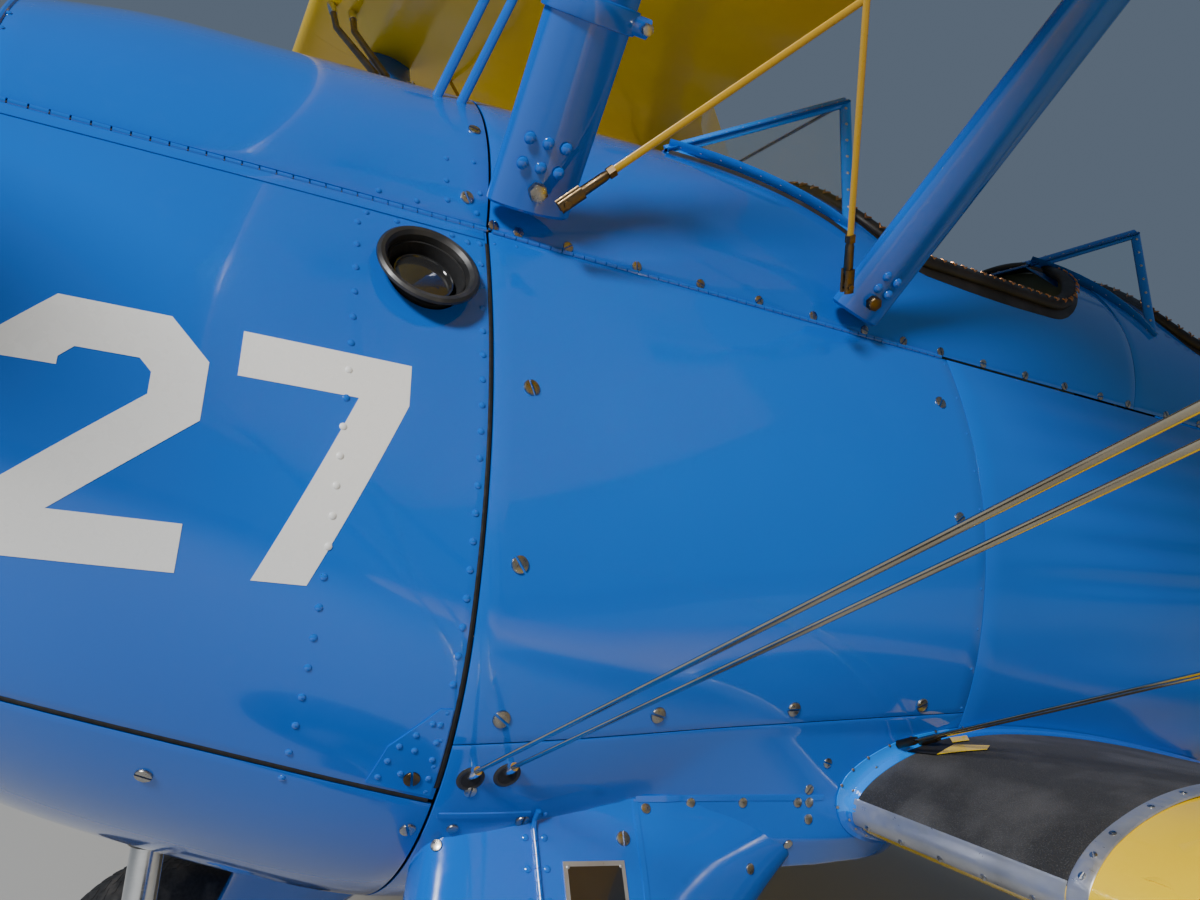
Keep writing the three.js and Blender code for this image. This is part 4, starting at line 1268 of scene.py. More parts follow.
def polyline(points: Sequence[tuple[float, ...]], pitch: float) -> Array:
    """Points along a chain of straight lines, about a pitch apart.

    Args:
        points: The chain's corners.
        pitch: The spacing.

    Returns:
        The points.
    """
    p = np.asarray(points, float)
    run = np.concatenate([[0], np.cumsum(np.linalg.norm(np.diff(p, axis=0), axis=1))])
    at = spread(0, run[-1], pitch)
    return np.stack([np.interp(at, run, p[:, k]) for k in range(p.shape[1])], 1)


# Sub-assemblies


DIGITS = {
    # Octagonal block numerals, 180 wide and 250 high, as outlines with a 48 stroke
    "2": [(0, 182), (0, 210), (40, 250), (140, 250), (180, 210), (180, 150), (62, 48), (180, 48),
          (180, 0), (0, 0), (0, 54),
          (130, 168), (130, 190), (118, 202), (62, 202), (50, 190), (50, 182)],
    "7": [(0, 250), (180, 250), (180, 203), (96, 0), (42, 0), (124, 202), (0, 202)],
}


@dataclass
class Cowl(Section):
    """The cowl over the accessories: a top, a belly, and a hinged door on each side."""

    front: float = 490.0
    aft: float = 1057.5
    gauge: float = 3.0
    hinge_front: Point = (378.0, 490.0, 262.0)
    hinge_rear: Point = (330.0, 1060.0, 280.0)
    knuckle_pitch: float = 19.0
    knuckle_radius: float = 4.2
    filler: Point = (400.0, 973.0, 194.0)
    filler_way: Point = (0.82, 0.04, 0.57)
    filler_room: float = 66.0
    doubler: tuple[Point2, ...] = ((978, -393), (991, -349), (1038, -304), (1052, -304),
                                   (1052, -407), (980, -394))
    top_rivets: tuple[Point2, ...] = ((998, 368), (1036, 376), (999, 334), (1002, 306), (962, 292),
                                      (1043, 300), (1046, 330), (913, 290), (503, 300), (502, 331),
                                      (500, 362), (499, 392))

    def hinge(self, y: Array) -> Array:
        """Height of the door's hinge at station y."""
        return 262 + (np.asarray(y, float) - 490) * 18 / 570

    def foot(self, y: Array) -> Array:
        """Height of the door's lower edge at station y."""
        return -300 - (np.asarray(y, float) - 490) * 114 / 570

    def build(self) -> None:
        """Builds every piece of the cowl."""
        self.top()
        self.belly()
        self.doors()
        self.hinges()
        self.numerals()
        self.oil_filler()
        self.fasteners()

    def top(self) -> None:
        """The fixed top between the two hinges, with its rolled front edge."""
        y = spread(self.front, self.aft, 30)[:, None]
        crown, rise, _, arc = SKIN.arc(y)
        low = self.hinge(y) + 5
        edge = np.where(rise <= arc, np.arccos(np.clip((low - crown + arc) / arc, -1, 1)), 1.0)
        t = edge * np.linspace(-1, 1, 73)[None, :]
        points = np.stack([arc * np.sin(t), y + 0 * t, crown - arc + arc * np.cos(t)], -1)
        obj = self.shell("cowl_top_sheet", points, (0, 0, 1), self.gauge)
        self.dress(obj, Finish.BLUE, slot="blue_paint", replaces=["cowl_top"])
        bead = np.stack([arc[0] * np.sin(t[0]), 0 * t[0] + self.front + 4, (crown - arc)[0]
                         + arc[0] * np.cos(t[0])], -1)
        self.dress(self.tube("cowl_front_bead", bead, 4.0, 10), Finish.BLUE, slot="blue_paint")

    def belly(self) -> None:
        """The lower cowl, from one door's foot round to the other's."""
        y = spread(self.front, 1058, 30)[:, None]
        s = SKIN.below(y, self.foot(y), 6, 41)
        obj = self.shell("cowl_belly_sheet", SKIN.around(y + 0 * s, s), (0, 0, -1), self.gauge)
        self.dress(obj, Finish.BLUE, slot="blue_paint", replaces=["cowl_bottom"])
        self.dress(self.drain(), Finish.POLISHED, slot="steel").name = "breather_pipe"

    def drain(self) -> bpy.types.Object:
        """The bright pipe that hangs straight down behind the engine, in a rubber collar.

        Returns:
            The pipe.
        """
        collar = self.turned("breather_collar", (0, 796, -596), (0, 0, 1),
                             [(22, 0), (27, 2), (34, 10), (36, 18), (22, 20)], 40, closed=False)
        self.dress(collar, Finish.RUBBER)
        return self.tube("breather_pipe", [(0, 796, -560), (0, 796, -680), (0, 797, -735),
                                           (0, 797, -739)], [22.5, 22.5, 22.5, 20.5], 40)

    def doors(self) -> None:
        """A hinged door on each side; the left one is cut out for the oil filler."""
        for side in Side:
            y = spread(self.front, self.aft, 12)[:, None]
            z = self.foot(y) + (self.hinge(y) - 4 - self.foot(y)) * np.linspace(0, 1, 61)[None, :]
            x = SKIN.side(y + 0 * z, z) * side.value
            points = np.stack([x, y + 0 * z, z], -1)
            obj = self.shell(f"cowl_door_sheet_{side.word}", points, (side.value, 0, 0),
                             self.gauge)
            if side is Side.LEFT:
                tool = self.turned("tool", self.filler, self.filler_way, [(50, -90), (50, 90)], 64)
                self.cut(obj, tool)
            body = f"cowl_door_{side.word}"
            self.dress(obj, Finish.BLUE, body, "blue_paint", [body])

    def hinges(self) -> None:
        """The long piano hinge on each side: knuckles on the top and on the door, and one rod."""
        a, b = np.array(self.hinge_front), np.array(self.hinge_rear)
        along = unit(b - a)
        count = int(float(np.linalg.norm(b - a)) / self.knuckle_pitch)
        for name, body, start in (("hinge_knuckles_fixed", "airframe", 0),
                                  ("hinge_knuckles_door", "cowl_door_*", 1)):
            parts = []
            for k in range(start, count, 2):
                ends = [a + along * (self.knuckle_pitch * (k + end)) for end in (0.05, 0.95)]
                parts.append(self.tube("knuckle", ends, self.knuckle_radius, 12))
            self.both(parts, name, Finish.BLUE, body, "blue_paint")
        rod = self.tube("hinge_rod", [a, b], 1.6, 10)
        self.both(rod, "hinge_rod", Finish.STEEL, slot="steel")
        y = spread(self.front + 4, self.aft - 4, 30)[:, None]
        z = self.hinge(y) - np.linspace(3.0, 17.0, 3)[None, :]
        points, _ = SKIN.on_side(y + 0 * z, z, Side.LEFT, 1.4)
        leaf = self.shell("hinge_leaf", points.reshape(len(y), 3, 3), (1, 0, 0), 1.2, 0.3)
        self.both(leaf, "hinge_leaf", Finish.BLUE, "cowl_door_*", "blue_paint")
        # Near-black tubes sunk under the door's lower edge and along its aft edge: painted shade
        # for the dark gaps there.
        y = spread(508, 1052, 40)
        low = SKIN.on_side(y, self.foot(y) - 2.0, Side.LEFT, -3.6)[0]
        z = np.linspace(-398, 258, 40)
        back = SKIN.on_side(1056.5 + 0 * z, z, Side.LEFT, -3.8)[0]
        for name, path in (("cowl_chafing_strip", low), ("firewall_chafing_strip", back)):
            self.both(self.tube(name, path, 4.6, 10), name, Finish.DARK)

    def numerals(self) -> None:
        """Plain block numerals on both doors."""
        for side in Side:
            for digit, outline in self.numeral_outlines(side):
                def on(u: Array, v: Array, side: Side = side) -> Array:
                    """Points on the door for the numeral's flat coordinates."""
                    return SKIN.on_side(u, v, side, 0.05)[0]
                obj = self.patch(f"numeral_{digit}_{side.word}", outline, on, 0.5, 20.0,
                                 (side.value, 0, 0))
                self.dress(obj, Finish.WHITE, f"cowl_door_{side.word}")

    def numeral_outlines(self, side: Side) -> list[tuple[str, Array]]:
        """The numerals' outlines on one door.

        Args:
            side: The door's side.

        Returns:
            Each digit with its outline in station and height.
        """
        starts = (572.0, 780.0) if side is Side.LEFT else (780.0, 572.0)
        found = []
        for digit, start in zip("27", starts):
            flat = np.array(DIGITS[digit], float)
            run = flat[:, 0] if side is Side.LEFT else 180 - flat[:, 0]
            found.append((digit, np.stack([start + run, flat[:, 1] - 185], 1)))
        return found

    def painted_over(self, yz: Array, side: Side) -> Array:
        """Which places lie under a numeral's paint.

        Args:
            yz: Places in station and height.
            side: The door's side.

        Returns:
            One truth value for each place.
        """
        covered = np.zeros(len(yz), bool)
        for _, outline in self.numeral_outlines(side):
            for a, b in zip(outline, np.roll(outline, -1, 0)):
                level = (a[1] > yz[:, 1]) != (b[1] > yz[:, 1])
                rise = b[1] - a[1] if b[1] != a[1] else 1.0
                covered ^= level & (yz[:, 0] < a[0] + (b[0] - a[0]) * (yz[:, 1] - a[1]) / rise)
        return covered

    def oil_filler(self) -> None:
        """The rubber-lipped well in the left door and the cap on the tank's neck behind it."""
        door = "cowl_door_left"
        for name, profile, sides, closed, finish, body in (
                ("filler_lip", [(50, -5), (51, 4), (55, 8.2), (60, 8.6), (63.5, 6), (64, 2.5),
                                (60, 0), (53, -3),
                                (48, -8), (45.5, -18), (44, -18), (46.5, -7), (48.5, -4)],
                 72, False, Finish.RUBBER, door),
                # The well is near-black as painted shade inside the filler's hole.
                ("filler_well", [(46, -4), (44, -14), (43, -30), (43, -44), (44.5, -44),
                                 (44.5, -30), (45.5, -14),
                                 (48, -4)], 48, False, Finish.DARK, door),
                ("filler_cap", [(0.5, -60), (38, -60), (38, -17), (37.2, -15), (35.4, -15),
                                (34.6, -17), (26, -14.5),
                                (12, -13), (0.5, -12.6)], 64, True, Finish.GLOSS_BLACK,
                 "airframe")):
            obj = self.turned(name, self.filler, self.filler_way, profile, sides, closed)
            self.dress(obj, finish, body)

    def fasteners(self) -> None:
        """Rivets in rows on the doors and the top, the corner doublers and the slotted studs."""
        rivet = self.stamp("rivet")
        front = spread(-395, 235, 31)
        yz = np.concatenate([
            np.stack([np.interp(front, [-400, 240], [893, 889]), front], 1),
            polyline([(1047, 255), (1046, -402)], 31.0),
            np.array([(899, 253), (937, 253), (975, 254), (1009, 256), (1030, 252)], float),
            polyline([(503, 250), (503, -290)], 31.0)])
        yz = yz[np.linalg.norm(yz - np.array(self.filler[1:]), axis=1) > self.filler_room]
        for side in Side:
            white = self.painted_over(yz, side)
            for name, chosen, finish, slot in (("door_rivets", ~white, Finish.BLUE, "blue_paint"),
                                               ("numeral_rivets", white, Finish.WHITE, None)):
                spots = SKIN.on_side(yz[chosen, 0], yz[chosen, 1], side)
                obj = self.scatter(f"{name}_{side.word}", rivet, *spots, 4.3)
                self.dress(obj, finish, f"cowl_door_{side.word}", slot)
        def on(u: Array, v: Array) -> Array:
            """Points on the left door."""
            return SKIN.on_side(u, v, Side.LEFT)[0]
        doubler = self.patch("door_doubler", self.doubler, on, 1.8, 14.0)
        self.both(doubler, "door_doubler", Finish.BLUE, "cowl_door_*", "blue_paint")
        ring = np.concatenate([polyline([(989, -385), (998, -352), (1041, -313), (1042, -362)],
                                        19.0),
                               np.array([(1012, -380), (1020, -352), (1044, -385)])])
        blue, bright = (Finish.BLUE, "blue_paint"), (Finish.STEEL, "steel")
        for name, kind, places, out, radius, dress, body, turn in (
                ("doubler_rivets", "rivet", ring, 1.8, 3.8, blue, "cowl_door_*", (0, 0)),
                ("door_studs", "slot", [(1026, -386)], 1.9, 9.5, (Finish.BRONZE, "steel"),
                 "cowl_door_*", (0.2, 0)),
                ("cowl_top_rivets", "rivet", self.top_rivets, 0.0, 4.0, blue, "airframe", (0, 0)),
                ("cowl_top_studs", "slot", [(1028, 318), (1041, 436)], 0.4, 9.0, bright,
                 "airframe", (0.5, 0.9)),
                ("cowl_belly_studs", "slot", [(1043, -455), (760, -405), (560, -350)], 0.4, 9.5,
                 bright, "airframe",
                 (0.4, 1.0))):
            y, z = np.array(places, float).T
            self.heads(name, kind, SKIN.on_side(y, z, Side.LEFT, out), radius, *dress, body, turn)


@dataclass
class Fuselage(Section):
    """The firewall and the body behind it: panels, decks, cloth, belly and wing-root fillets."""

    start: float = 1061.5
    panel_end: float = 1894.0
    tub_end: float = 3250.0
    stern: float = 7010.0
    gauge: float = 3.0
    stringers: int = 9
    front_well: tuple[float, float, float, float] = (1700.0, 2345.0, 272.0, 170.0)
    rear_well: tuple[float, float, float, float] = (2505.0, 3160.0, 256.0, 170.0)
    studs: tuple[Point2, ...] = ((1110, 70), (1105, -140), (1110, -313), (1322, -305),
                                 (1546, -294), (1796, -282), (1838, 2), (1840, 190))
    seam_stations: tuple[float, ...] = (1067, 1103, 1177, 1285, 1392, 1498, 1603, 1709, 1794, 1879,
                                        1982, 2089, 2195,
                                        2297, 2380, 2500, 2610, 2720, 2830, 2940, 3050, 3160)

    def panel_foot(self, y: Array) -> Array:
        """Height of the side panel's lower edge at station y."""
        return -345 + (np.asarray(y, float) - 1060) * 53 / 834

    def build(self) -> None:
        """Builds every piece of the fuselage."""
        self.panels()
        self.decks()
        self.cloth()
        self.wall()
        self.fasteners()
        self.root_fillets()

    def panels(self) -> None:
        """The metal side panel behind each door."""
        y = spread(self.start, self.panel_end, 26)[:, None]
        z = self.panel_foot(y) + (SEAM - 1.5 - self.panel_foot(y)) * np.linspace(0, 1, 61)[None, :]
        points = np.stack([SKIN.side(y + 0 * z, z), y + 0 * z, z], -1)
        obj = self.shell("side_panel_sheet", points, (1, 0, 0), self.gauge)
        self.both(obj, "side_panel_sheet", Finish.BLUE, "airframe", "blue_paint", "side_panel_*")
        parts = []
        for first in np.arange(1066.0, 1880.0, 17.0):
            ends, _ = SKIN.on_side([first, first + 15.6], [SEAM, SEAM], Side.LEFT, 0.6)
            parts.append(self.tube("knuckle", ends, 3.4, 10))
        self.both(parts, "deck_hinge_knuckles", Finish.BLUE, slot="blue_paint")

    def opening(self, well: tuple[float, float, float, float], grow: float = 0.0) -> Array:
        """A cockpit's rounded outline in plan.

        Args:
            well: First and last station, half-width and corner radius.
            grow: How far outside it.

        Returns:
            Points of x and y round the outline.
        """
        y0, y1, half, radius = well[0] - grow, well[1] + grow, well[2] + grow, well[3] + grow
        points = []
        for cx, cy, first in ((half - radius, y0 + radius, -90), (half - radius, y1 - radius, 0),
                              (radius - half, y1 - radius, 90), (radius - half, y0 + radius, 180)):
            for k in range(13):
                t = math.radians(first + 7.5 * k)
                points.append((cx + radius * math.cos(t), cy + radius * math.sin(t)))
        return np.array(points)

    def deck_height(self, x: Array, y: Array) -> Array:
        """Height of the deck's arc over points in plan.

        Args:
            x: Distances to the left.
            y: Stations.

        Returns:
            The heights.
        """
        crown, _, _, arc = SKIN.arc(y)
        return crown - arc + np.sqrt(np.maximum(arc**2 - np.asarray(x) ** 2, 0))

    def decks(self) -> None:
        """The rounded decks, each with its cockpit opening and padded coaming."""
        for name, y0, y1, well in (("front", self.start, 2399.5, self.front_well),
                                   ("rear", 2400.5, 3249.5, self.rear_well)):
            y = spread(y0, y1, 24)[:, None]
            s = np.linspace(-0.995, 0.995, 97)[None, :]
            obj = self.shell(f"deck_{name}_sheet", SKIN.around(y, s), (0, 0, 1), self.gauge)
            ring = self.opening(well)
            tool = self.loft("tool", [np.c_[ring, np.full(len(ring), h)] for h in (250.0, 900.0)])
            self.cut(obj, tool)
            self.dress(obj, Finish.BLUE, slot="blue_paint", replaces=[f"deck_{name}"])
            path = self.opening(well, -1.0)
            path = np.concatenate([path, path[:1]])
            dense = polyline([tuple(p) for p in path], 12.0)[:-1]
            z = self.deck_height(dense[:, 0], dense[:, 1])
            self.coaming(name, np.c_[dense, z])
        arch = SKIN.around(np.array([[2352.0]]), np.linspace(-0.98, 0.98, 49)[None, :])
        arch = arch * np.array([0.97, 1, 1]) - np.array([0, 0, 8])
        foot = arch.copy()
        foot[..., 2] = 330
        bulkhead = self.shell("cockpit_bulkhead", np.concatenate([arch, foot]), (0, -1, 0), 8.0,
                              0.0)
        self.dress(bulkhead, Finish.GREEN, slot="cockpit_green")

    def coaming(self, name: str, path: Array) -> None:
        """The black padded roll round a cockpit, laced on with copper wire.

        Args:
            name: The cockpit.
            path: Closed path of the deck's edge.
        """
        count = len(path)
        after, before = np.roll(path, -1, 0), np.roll(path, 1, 0)
        along = unit(after - before)
        crown = np.c_[path[:, 0], np.zeros(count), path[:, 2] - 250]
        up = unit(crown - along * np.sum(crown * along, 1, keepdims=True))
        out = unit(np.cross(along, up))
        t = np.linspace(0, 2 * math.pi, 17)
        shape = np.stack([15.0 * np.cos(t), 11.0 * np.sin(t)], 1)
        net = path[:, None, :] + shape[None, :, :1] * out[:, None, :]
        net = net + (shape[None, :, 1:] + 2.0) * up[:, None, :]
        net = np.concatenate([net, net[:1]], 0)
        obj = self.grid(f"coaming_{name}", net, weld=True)
        self.dress(obj, Finish.LEATHER)
        centre = path[:, :2].mean(0)
        outward = unit(np.c_[path[:, :2] - centre, np.zeros(count)])
        loops = []
        for k in range(0, count, 2):
            o = outward[k] - along[k] * (outward[k] @ along[k])
            base = path[k] + up[k] * 1.0
            bow = [base + o * r + up[k] * h + along[k] * a for r, h, a in
                   ((6, 12.2, -6), (12, 9.5, -3), (16.5, 4, 0), (12.5, 9, 4), (6, 12.2, 7))]
            loops.append(self.tube("loop", bow, 1.5, 6))
        self.dress(self.joined(f"coaming_lacing_{name}", loops), Finish.COPPER)
        strip = path[:, None, :] + outward[:, None, :] * np.linspace(6, 17.5, 3)[None, :, None]
        strip[..., 2] = self.deck_height(strip[..., 0], strip[..., 1]) + 1.3
        strip = np.concatenate([strip, strip[:1]], 0)
        obj = self.grid(f"coaming_binding_{name}", strip, weld=True)
        turn_towards(obj, (0, 0, 1))
        self.modify(obj, "SOLIDIFY", thickness=0.0012, offset=-1)
        self.dress(obj, Finish.LEATHER)

    def cloth(self) -> None:
        """The lower body and the cloth aft of it, which sinks a little between its stringers."""
        y = spread(self.start, self.panel_end, 24)[:, None]
        s = SKIN.below(y, self.panel_foot(y), 1.5, 91)
        keel = self.shell("belly_sheet", SKIN.around(y + 0 * s, s), (0, 0, -1), self.gauge)
        y = spread(self.panel_end + 1.5, self.tub_end, 40)[:, None]
        s = np.concatenate([np.linspace(1.003, 3, 97), np.linspace(-3, -1.003, 97)[1:]])[None, :]
        mid = self.shell("middle_cloth", self.sagged(y, s), (0, 0, -1), self.gauge)
        y = spread(self.tub_end + 1, self.stern, 47)[:, None]
        s = np.concatenate([np.linspace(0, 3, 121), np.linspace(-3, 0, 121)[1:-1]])[None, :]
        aft = self.loft("rear_cloth", self.sagged(y, s))
        self.dress(keel, Finish.BLUE, slot="blue_paint", replaces=["fuselage_body"])
        self.dress(mid, Finish.BLUE_CLOTH, slot="blue_paint")
        self.dress(aft, Finish.BLUE_CLOTH, slot="blue_paint")

    def sagged(self, y: Array, s: Array) -> Array:
        """Skin points drawn in between the stringers.

        Args:
            y: Stations.
            s: Places round the section.

        Returns:
            The cloth's points.
        """
        points = SKIN.around(y + 0 * s, s + 0 * y)
        lane = np.abs(s) * self.stringers / 3 * 2
        sink = 3.2 * np.sin(np.pi * lane) ** 2 * np.clip((y - self.panel_end) / 300, 0, 1)
        sink = sink * np.clip((self.stern - y) / 2500, 0, 1)
        middle = np.stack([0 * y, y, np.full_like(y, 60.0)], -1)
        away = points - middle
        away[..., 1] = 0
        return points - unit(away) * sink[..., None]

    def wall(self) -> None:
        """The steel firewall, set back from the skin and finished near-black as painted shade, so
        that a dark gap shows round it.
        """
        s = np.concatenate([np.linspace(0, 3, 97), np.linspace(-3, 0, 97)[1:-1]])
        rings = [SKIN.around(np.full_like(s, y), s) * np.array([0.985, 1, 0.985])
                 for y in (1057.0, 1062.5)]
        # Near-black sheet: painted shade for the gap round the firewall.
        self.dress(self.loft("firewall_sheet", rings), Finish.DARK, slot="steel",
                   replaces=["firewall"])
        rings = [SKIN.around(np.full_like(s, y), s) * np.array([0.93, 1, 0.93])
                 for y in (1056.2, 1056.9)]
        self.dress(self.loft("firewall_face", rings), Finish.ALUMINIUM, slot="steel")

    def fasteners(self) -> None:
        """Studs, screws and rivets on the panels and the lower body, and the wires' grommets."""
        panel = np.concatenate([polyline([(1885, 268), (1886, -285)], 60.0),
                                np.array([(1068, 262), (1100, 268)])])
        seam = [(y, 289.5) for y in self.seam_stations]
        for name, kind, places, out, radius, finish, slot, turn in (
                ("panel_studs", "slot", self.studs, 0.3, 10.5, Finish.STEEL, "steel",
                 (0.35, 0.31)),
                ("seam_screws", "slot", seam, 0.2, 7.4, Finish.STEEL, "steel", (0, 1.1)),
                ("belly_rivets", "slot", [(1098, -402), (1636, -371), (1612, -409)], 0.0, 7.4,
                 Finish.STEEL, "steel",
                 (0, 1.3)),
                ("panel_rivets", "rivet", panel, 0.0, 2.3, Finish.BLUE, "blue_paint", (0, 0))):
            y, z = np.array(places, float).T
            self.heads(name, kind, SKIN.on_side(y, z, Side.LEFT, out), radius, finish, slot,
                       turn=turn)
        spots = list(zip(*SKIN.on_side([1093, 1136], [-386, -381], Side.LEFT)))
        lip = [(11, 0), (11.5, 3.2), (14, 3.6), (16.5, 2.2), (17, 0)]
        rings = [self.turned("grommet", p - n * 2, n, lip, 32, closed=False) for p, n in spots]
        self.both(rings, "wire_grommet", Finish.RUBBER)
        # Near-black discs in the grommets: painted shade for the holes.
        discs = [self.turned("hole", p - n * 1.5, n, [(12.5, 0), (12.5, 2.6)], 32)
                 for p, n in spots]
        self.both(discs, "wire_hole", Finish.DARK)

    def root_fillets(self) -> None:
        """The fillet strip where the lower wing meets the body, with its small screws; its upper
        front part is a lighter blue, as painted highlight.
        """
        f = np.concatenate([0.6 * np.linspace(1.0, 0.0, 90) ** 2,
                            0.07 * (np.linspace(0.0, 1.0, 40) ** 2)[1:]])
        face = np.concatenate([np.ones(90), -np.ones(39)])
        line = LOWER.point(400.0, f, face, 1.0)
        along = unit(np.gradient(line[:, 1:], axis=0))
        away = np.stack([along[:, 1], -along[:, 0]], 1)
        away = away * np.where((away * (line[:, 1:] - np.array([1800.0, -390.0]))).sum(1) < 0,
                               -1, 1)[:, None]
        wide = np.interp(np.arange(len(f)), [0, 30, 44, 62, 80, 92, 128],
                         [7, 8, 10, 20, 26, 16, 8])
        rows = []
        for share, out, climb in ((1.0, 1.0, 0.0), (0.97, 2.6, 0.0), (0.5, 4.0, 0.0),
                                  (0.16, 9.0, 0.0), (0.0, 16.0, 0.8), (0.0, 22.0, 0.3)):
            yz = line[:, 1:] + away * (wide * share)[:, None]
            reach = np.maximum(SKIN.side(yz[:, 0], yz[:, 1]),
                               SKIN.side(line[:, 1], line[:, 2])) + out
            point = np.c_[reach, yz]
            if share == 0.0:
                point = LOWER.point(reach, f, face, 1.2 + climb)
            rows.append(point)
        net = np.array(rows)
        seen = Vector(self.place.row(LOWER.point([400.0], [0.15], 0.0)[0])[0])
        # The upper front part takes the lighter blue as painted highlight; the aft part and the
        # nose below keep the plain blue.
        for name, part, finish in (("root_fillet_aft", net[:, :50], Finish.BLUE),
                                   ("root_fillet_fore", net[:, 49:93], Finish.PALE_BLUE),
                                   ("root_fillet_nose", net[:, 92:], Finish.BLUE)):
            obj = self.grid(name, part)
            if sum(p.normal.dot(p.center - seen) for p in obj.data.polygons) < 0:
                obj.data.flip_normals()
            self.modify(obj, "SOLIDIFY", thickness=0.002, offset=-1)
            self.both(obj, name, finish, slot="blue_paint")
        inner = [int(k) for k in np.interp(np.linspace(0, 1, 8), [0, 1], [46, 90])]
        outer = [70, 82, 98, 106, 114]
        spots = (np.array([rows[1][k] for k in inner] + [rows[3][k] for k in outer]),
                 np.array([[0.9, *(away[k] * 0.4)] for k in inner + outer]))
        self.heads("fillet_screws", "screw", spots, 2.4, Finish.STEEL)


@dataclass
class Wings(Section):
    """The cloth-covered wings, with ribs, walkways and leading-edge strips."""

    rib_pitch: float = 235.0
    sag: float = 3.0
    points_round: int = 44
    tip_share: float = 0.992
    aileron: tuple[float, float, float] = (2250.0, 4060.0, 1180.0)
    walk_inner: tuple[Point2, ...] = ((757, 0.0), (756, 0.003), (752, 0.025), (748, 0.059),
                                      (738, 0.118), (727, 0.18), (695, 0.28),
                                      (640, 0.38), (560, 0.47), (345, 0.56))
    walk_outer: tuple[Point2, ...] = ((784, 0.0), (783, 0.006), (777, 0.029), (771, 0.064),
                                      (765, 0.106), (759, 0.15), (745, 0.2),
                                      (712, 0.3), (655, 0.40), (572, 0.492), (345, 0.585))
    slot_pieces: tuple[tuple[str, tuple[Point2, ...], float, Finish, str | None], ...] = (
        # The slot's hole is a near-black patch: painted shade for the opening.
        ("wire_slot_hole", ((410, 0.062), (452, 0.072), (440, 0.101), (410, 0.116)), 3.4,
         Finish.DARK, None),
        ("wire_slot_fore", ((452, 0.072), (486, 0.112), (474, 0.124), (440, 0.101)), 3.5,
         Finish.YELLOW_METAL, "yellow_paint"),
        ("wire_slot_aft", ((410, 0.116), (430, 0.106), (436, 0.124), (414, 0.136)), 3.5,
         Finish.YELLOW_METAL, "yellow_paint"))
    cutout: tuple[Point2, ...] = ((430, 1806), (487, 1821), (534, 1848), (579, 1881), (627, 1917),
                                  (1200, 2502))

    def build(self) -> None:
        """Builds the wings and what lies on them."""
        self.centre()
        for wing, name in ((UPPER, "upper_wing"), (LOWER, "lower_wing")):
            obj = self.panel(name, wing)
            self.both(obj, f"{name}_cloth", Finish.YELLOW, "airframe", "yellow_paint", f"{name}_*",
                      50.0)
        self.stub()
        self.ailerons()
        self.walkway()
        self.tapes()
        self.centre_details()

    def ring(self, wing: Wing, x: float, limit: float, sag: float) -> Array:
        """The section's outline at a span station, cut off at a chord fraction.

        Args:
            wing: The wing.
            x: Span station.
            limit: Chord fraction where it ends.
            sag: How far the cloth sinks.

        Returns:
            The ring, upper face from the back to the nose and then the lower face.
        """
        w = np.linspace(-1, 1, 2 * self.points_round)
        f = limit * np.abs(w) ** 1.9
        face = np.where(w < 0, 1.0, -1.0)
        sink = sag * np.clip((f - 0.09) / 0.08, 0, 1) * np.clip((1.0 - f) / 0.06, 0, 1)
        return wing.point(x, f, face, -sink)

    def stations(self, wing: Wing, start: float) -> Array:
        """Span stations, closer in the tip.

        Args:
            wing: The wing.
            start: The first station.

        Returns:
            The stations, rising.
        """
        shoulder = wing.tip - wing.tip_length
        plain = spread(start, shoulder, self.rib_pitch / 6)
        u = np.sin(np.linspace(0, math.pi / 2, 26))[1:] * self.tip_share
        return np.concatenate([plain, shoulder + wing.tip_length * u])

    def sink(self, x: Array, start: float) -> Array:
        """How far the cloth sinks at span stations, between ribs."""
        return self.sag * np.sin(np.pi * (np.asarray(x) - start) / self.rib_pitch) ** 2

    def panel(self, name: str, wing: Wing) -> bpy.types.Object:
        """One left wing panel, cut away behind the hinge where the aileron is.

        Args:
            name: The panel's name.
            wing: Its wing.

        Returns:
            The mesh object.
        """
        start = wing.root + 0.5 if wing is UPPER else 372.0
        x = self.stations(wing, start)
        limit = self.cut_limit(x) if wing is UPPER else np.ones_like(x)
        if wing is LOWER:
            first, last, hinge = self.aileron
            x = np.sort(np.concatenate([x, [first - 0.2, first + 0.2, last - 0.2, last + 0.2]]))
            half = CHORD * float(Wing.half_thick(np.array(hinge / CHORD))) - 1
            limit = np.where((x > first) & (x < last), (hinge - half - 7.5) / CHORD, 1.0)
        sink = self.sink(x, start)
        rings = np.array([self.ring(wing, a, b, c) for a, b, c in zip(x, limit, sink)])
        return self.loft(name, rings)

    def stub(self) -> None:
        """The lower wing's root, from inside the body to the first rib."""
        x = spread(300, 371.5, 12)
        rings = np.array([self.ring(LOWER, a, 1.0, 0.0) for a in x])
        self.both(self.loft("wing_root", rings), "wing_root", Finish.YELLOW_METAL,
                  slot="yellow_paint")

    def cut_limit(self, x: Array) -> Array:
        """The chord fraction where the upper wing's cut-back trailing edge is, at span stations.

        Args:
            x: Span stations.

        Returns:
            The fractions, 1 where nothing is cut away.
        """
        xs, ys = np.array(self.cutout, float).T
        y = np.interp(np.abs(x), xs, ys) + np.clip(22 - np.abs(np.abs(x) - xs[0]), 0, None) * 0.12
        return np.minimum(1.0, (y - UPPER.y) / CHORD)

    def centre(self) -> None:
        """The centre section, with its cut-out for the front cockpit."""
        bends = np.array([row[0] for row in self.cutout[:3]])
        x = np.unique(np.concatenate([spread(-900, 900, 20), bends, -bends]))
        limit = self.cut_limit(x)
        sink = self.sink(x - 900, 0.0)
        rings = np.array([self.ring(UPPER, a, b, c) for a, b, c in zip(x, limit, sink)])
        self.dress(self.loft("centre_section_cloth", rings), Finish.YELLOW, slot="yellow_paint",
                   replaces=["upper_wing_centre"], smooth=50.0)

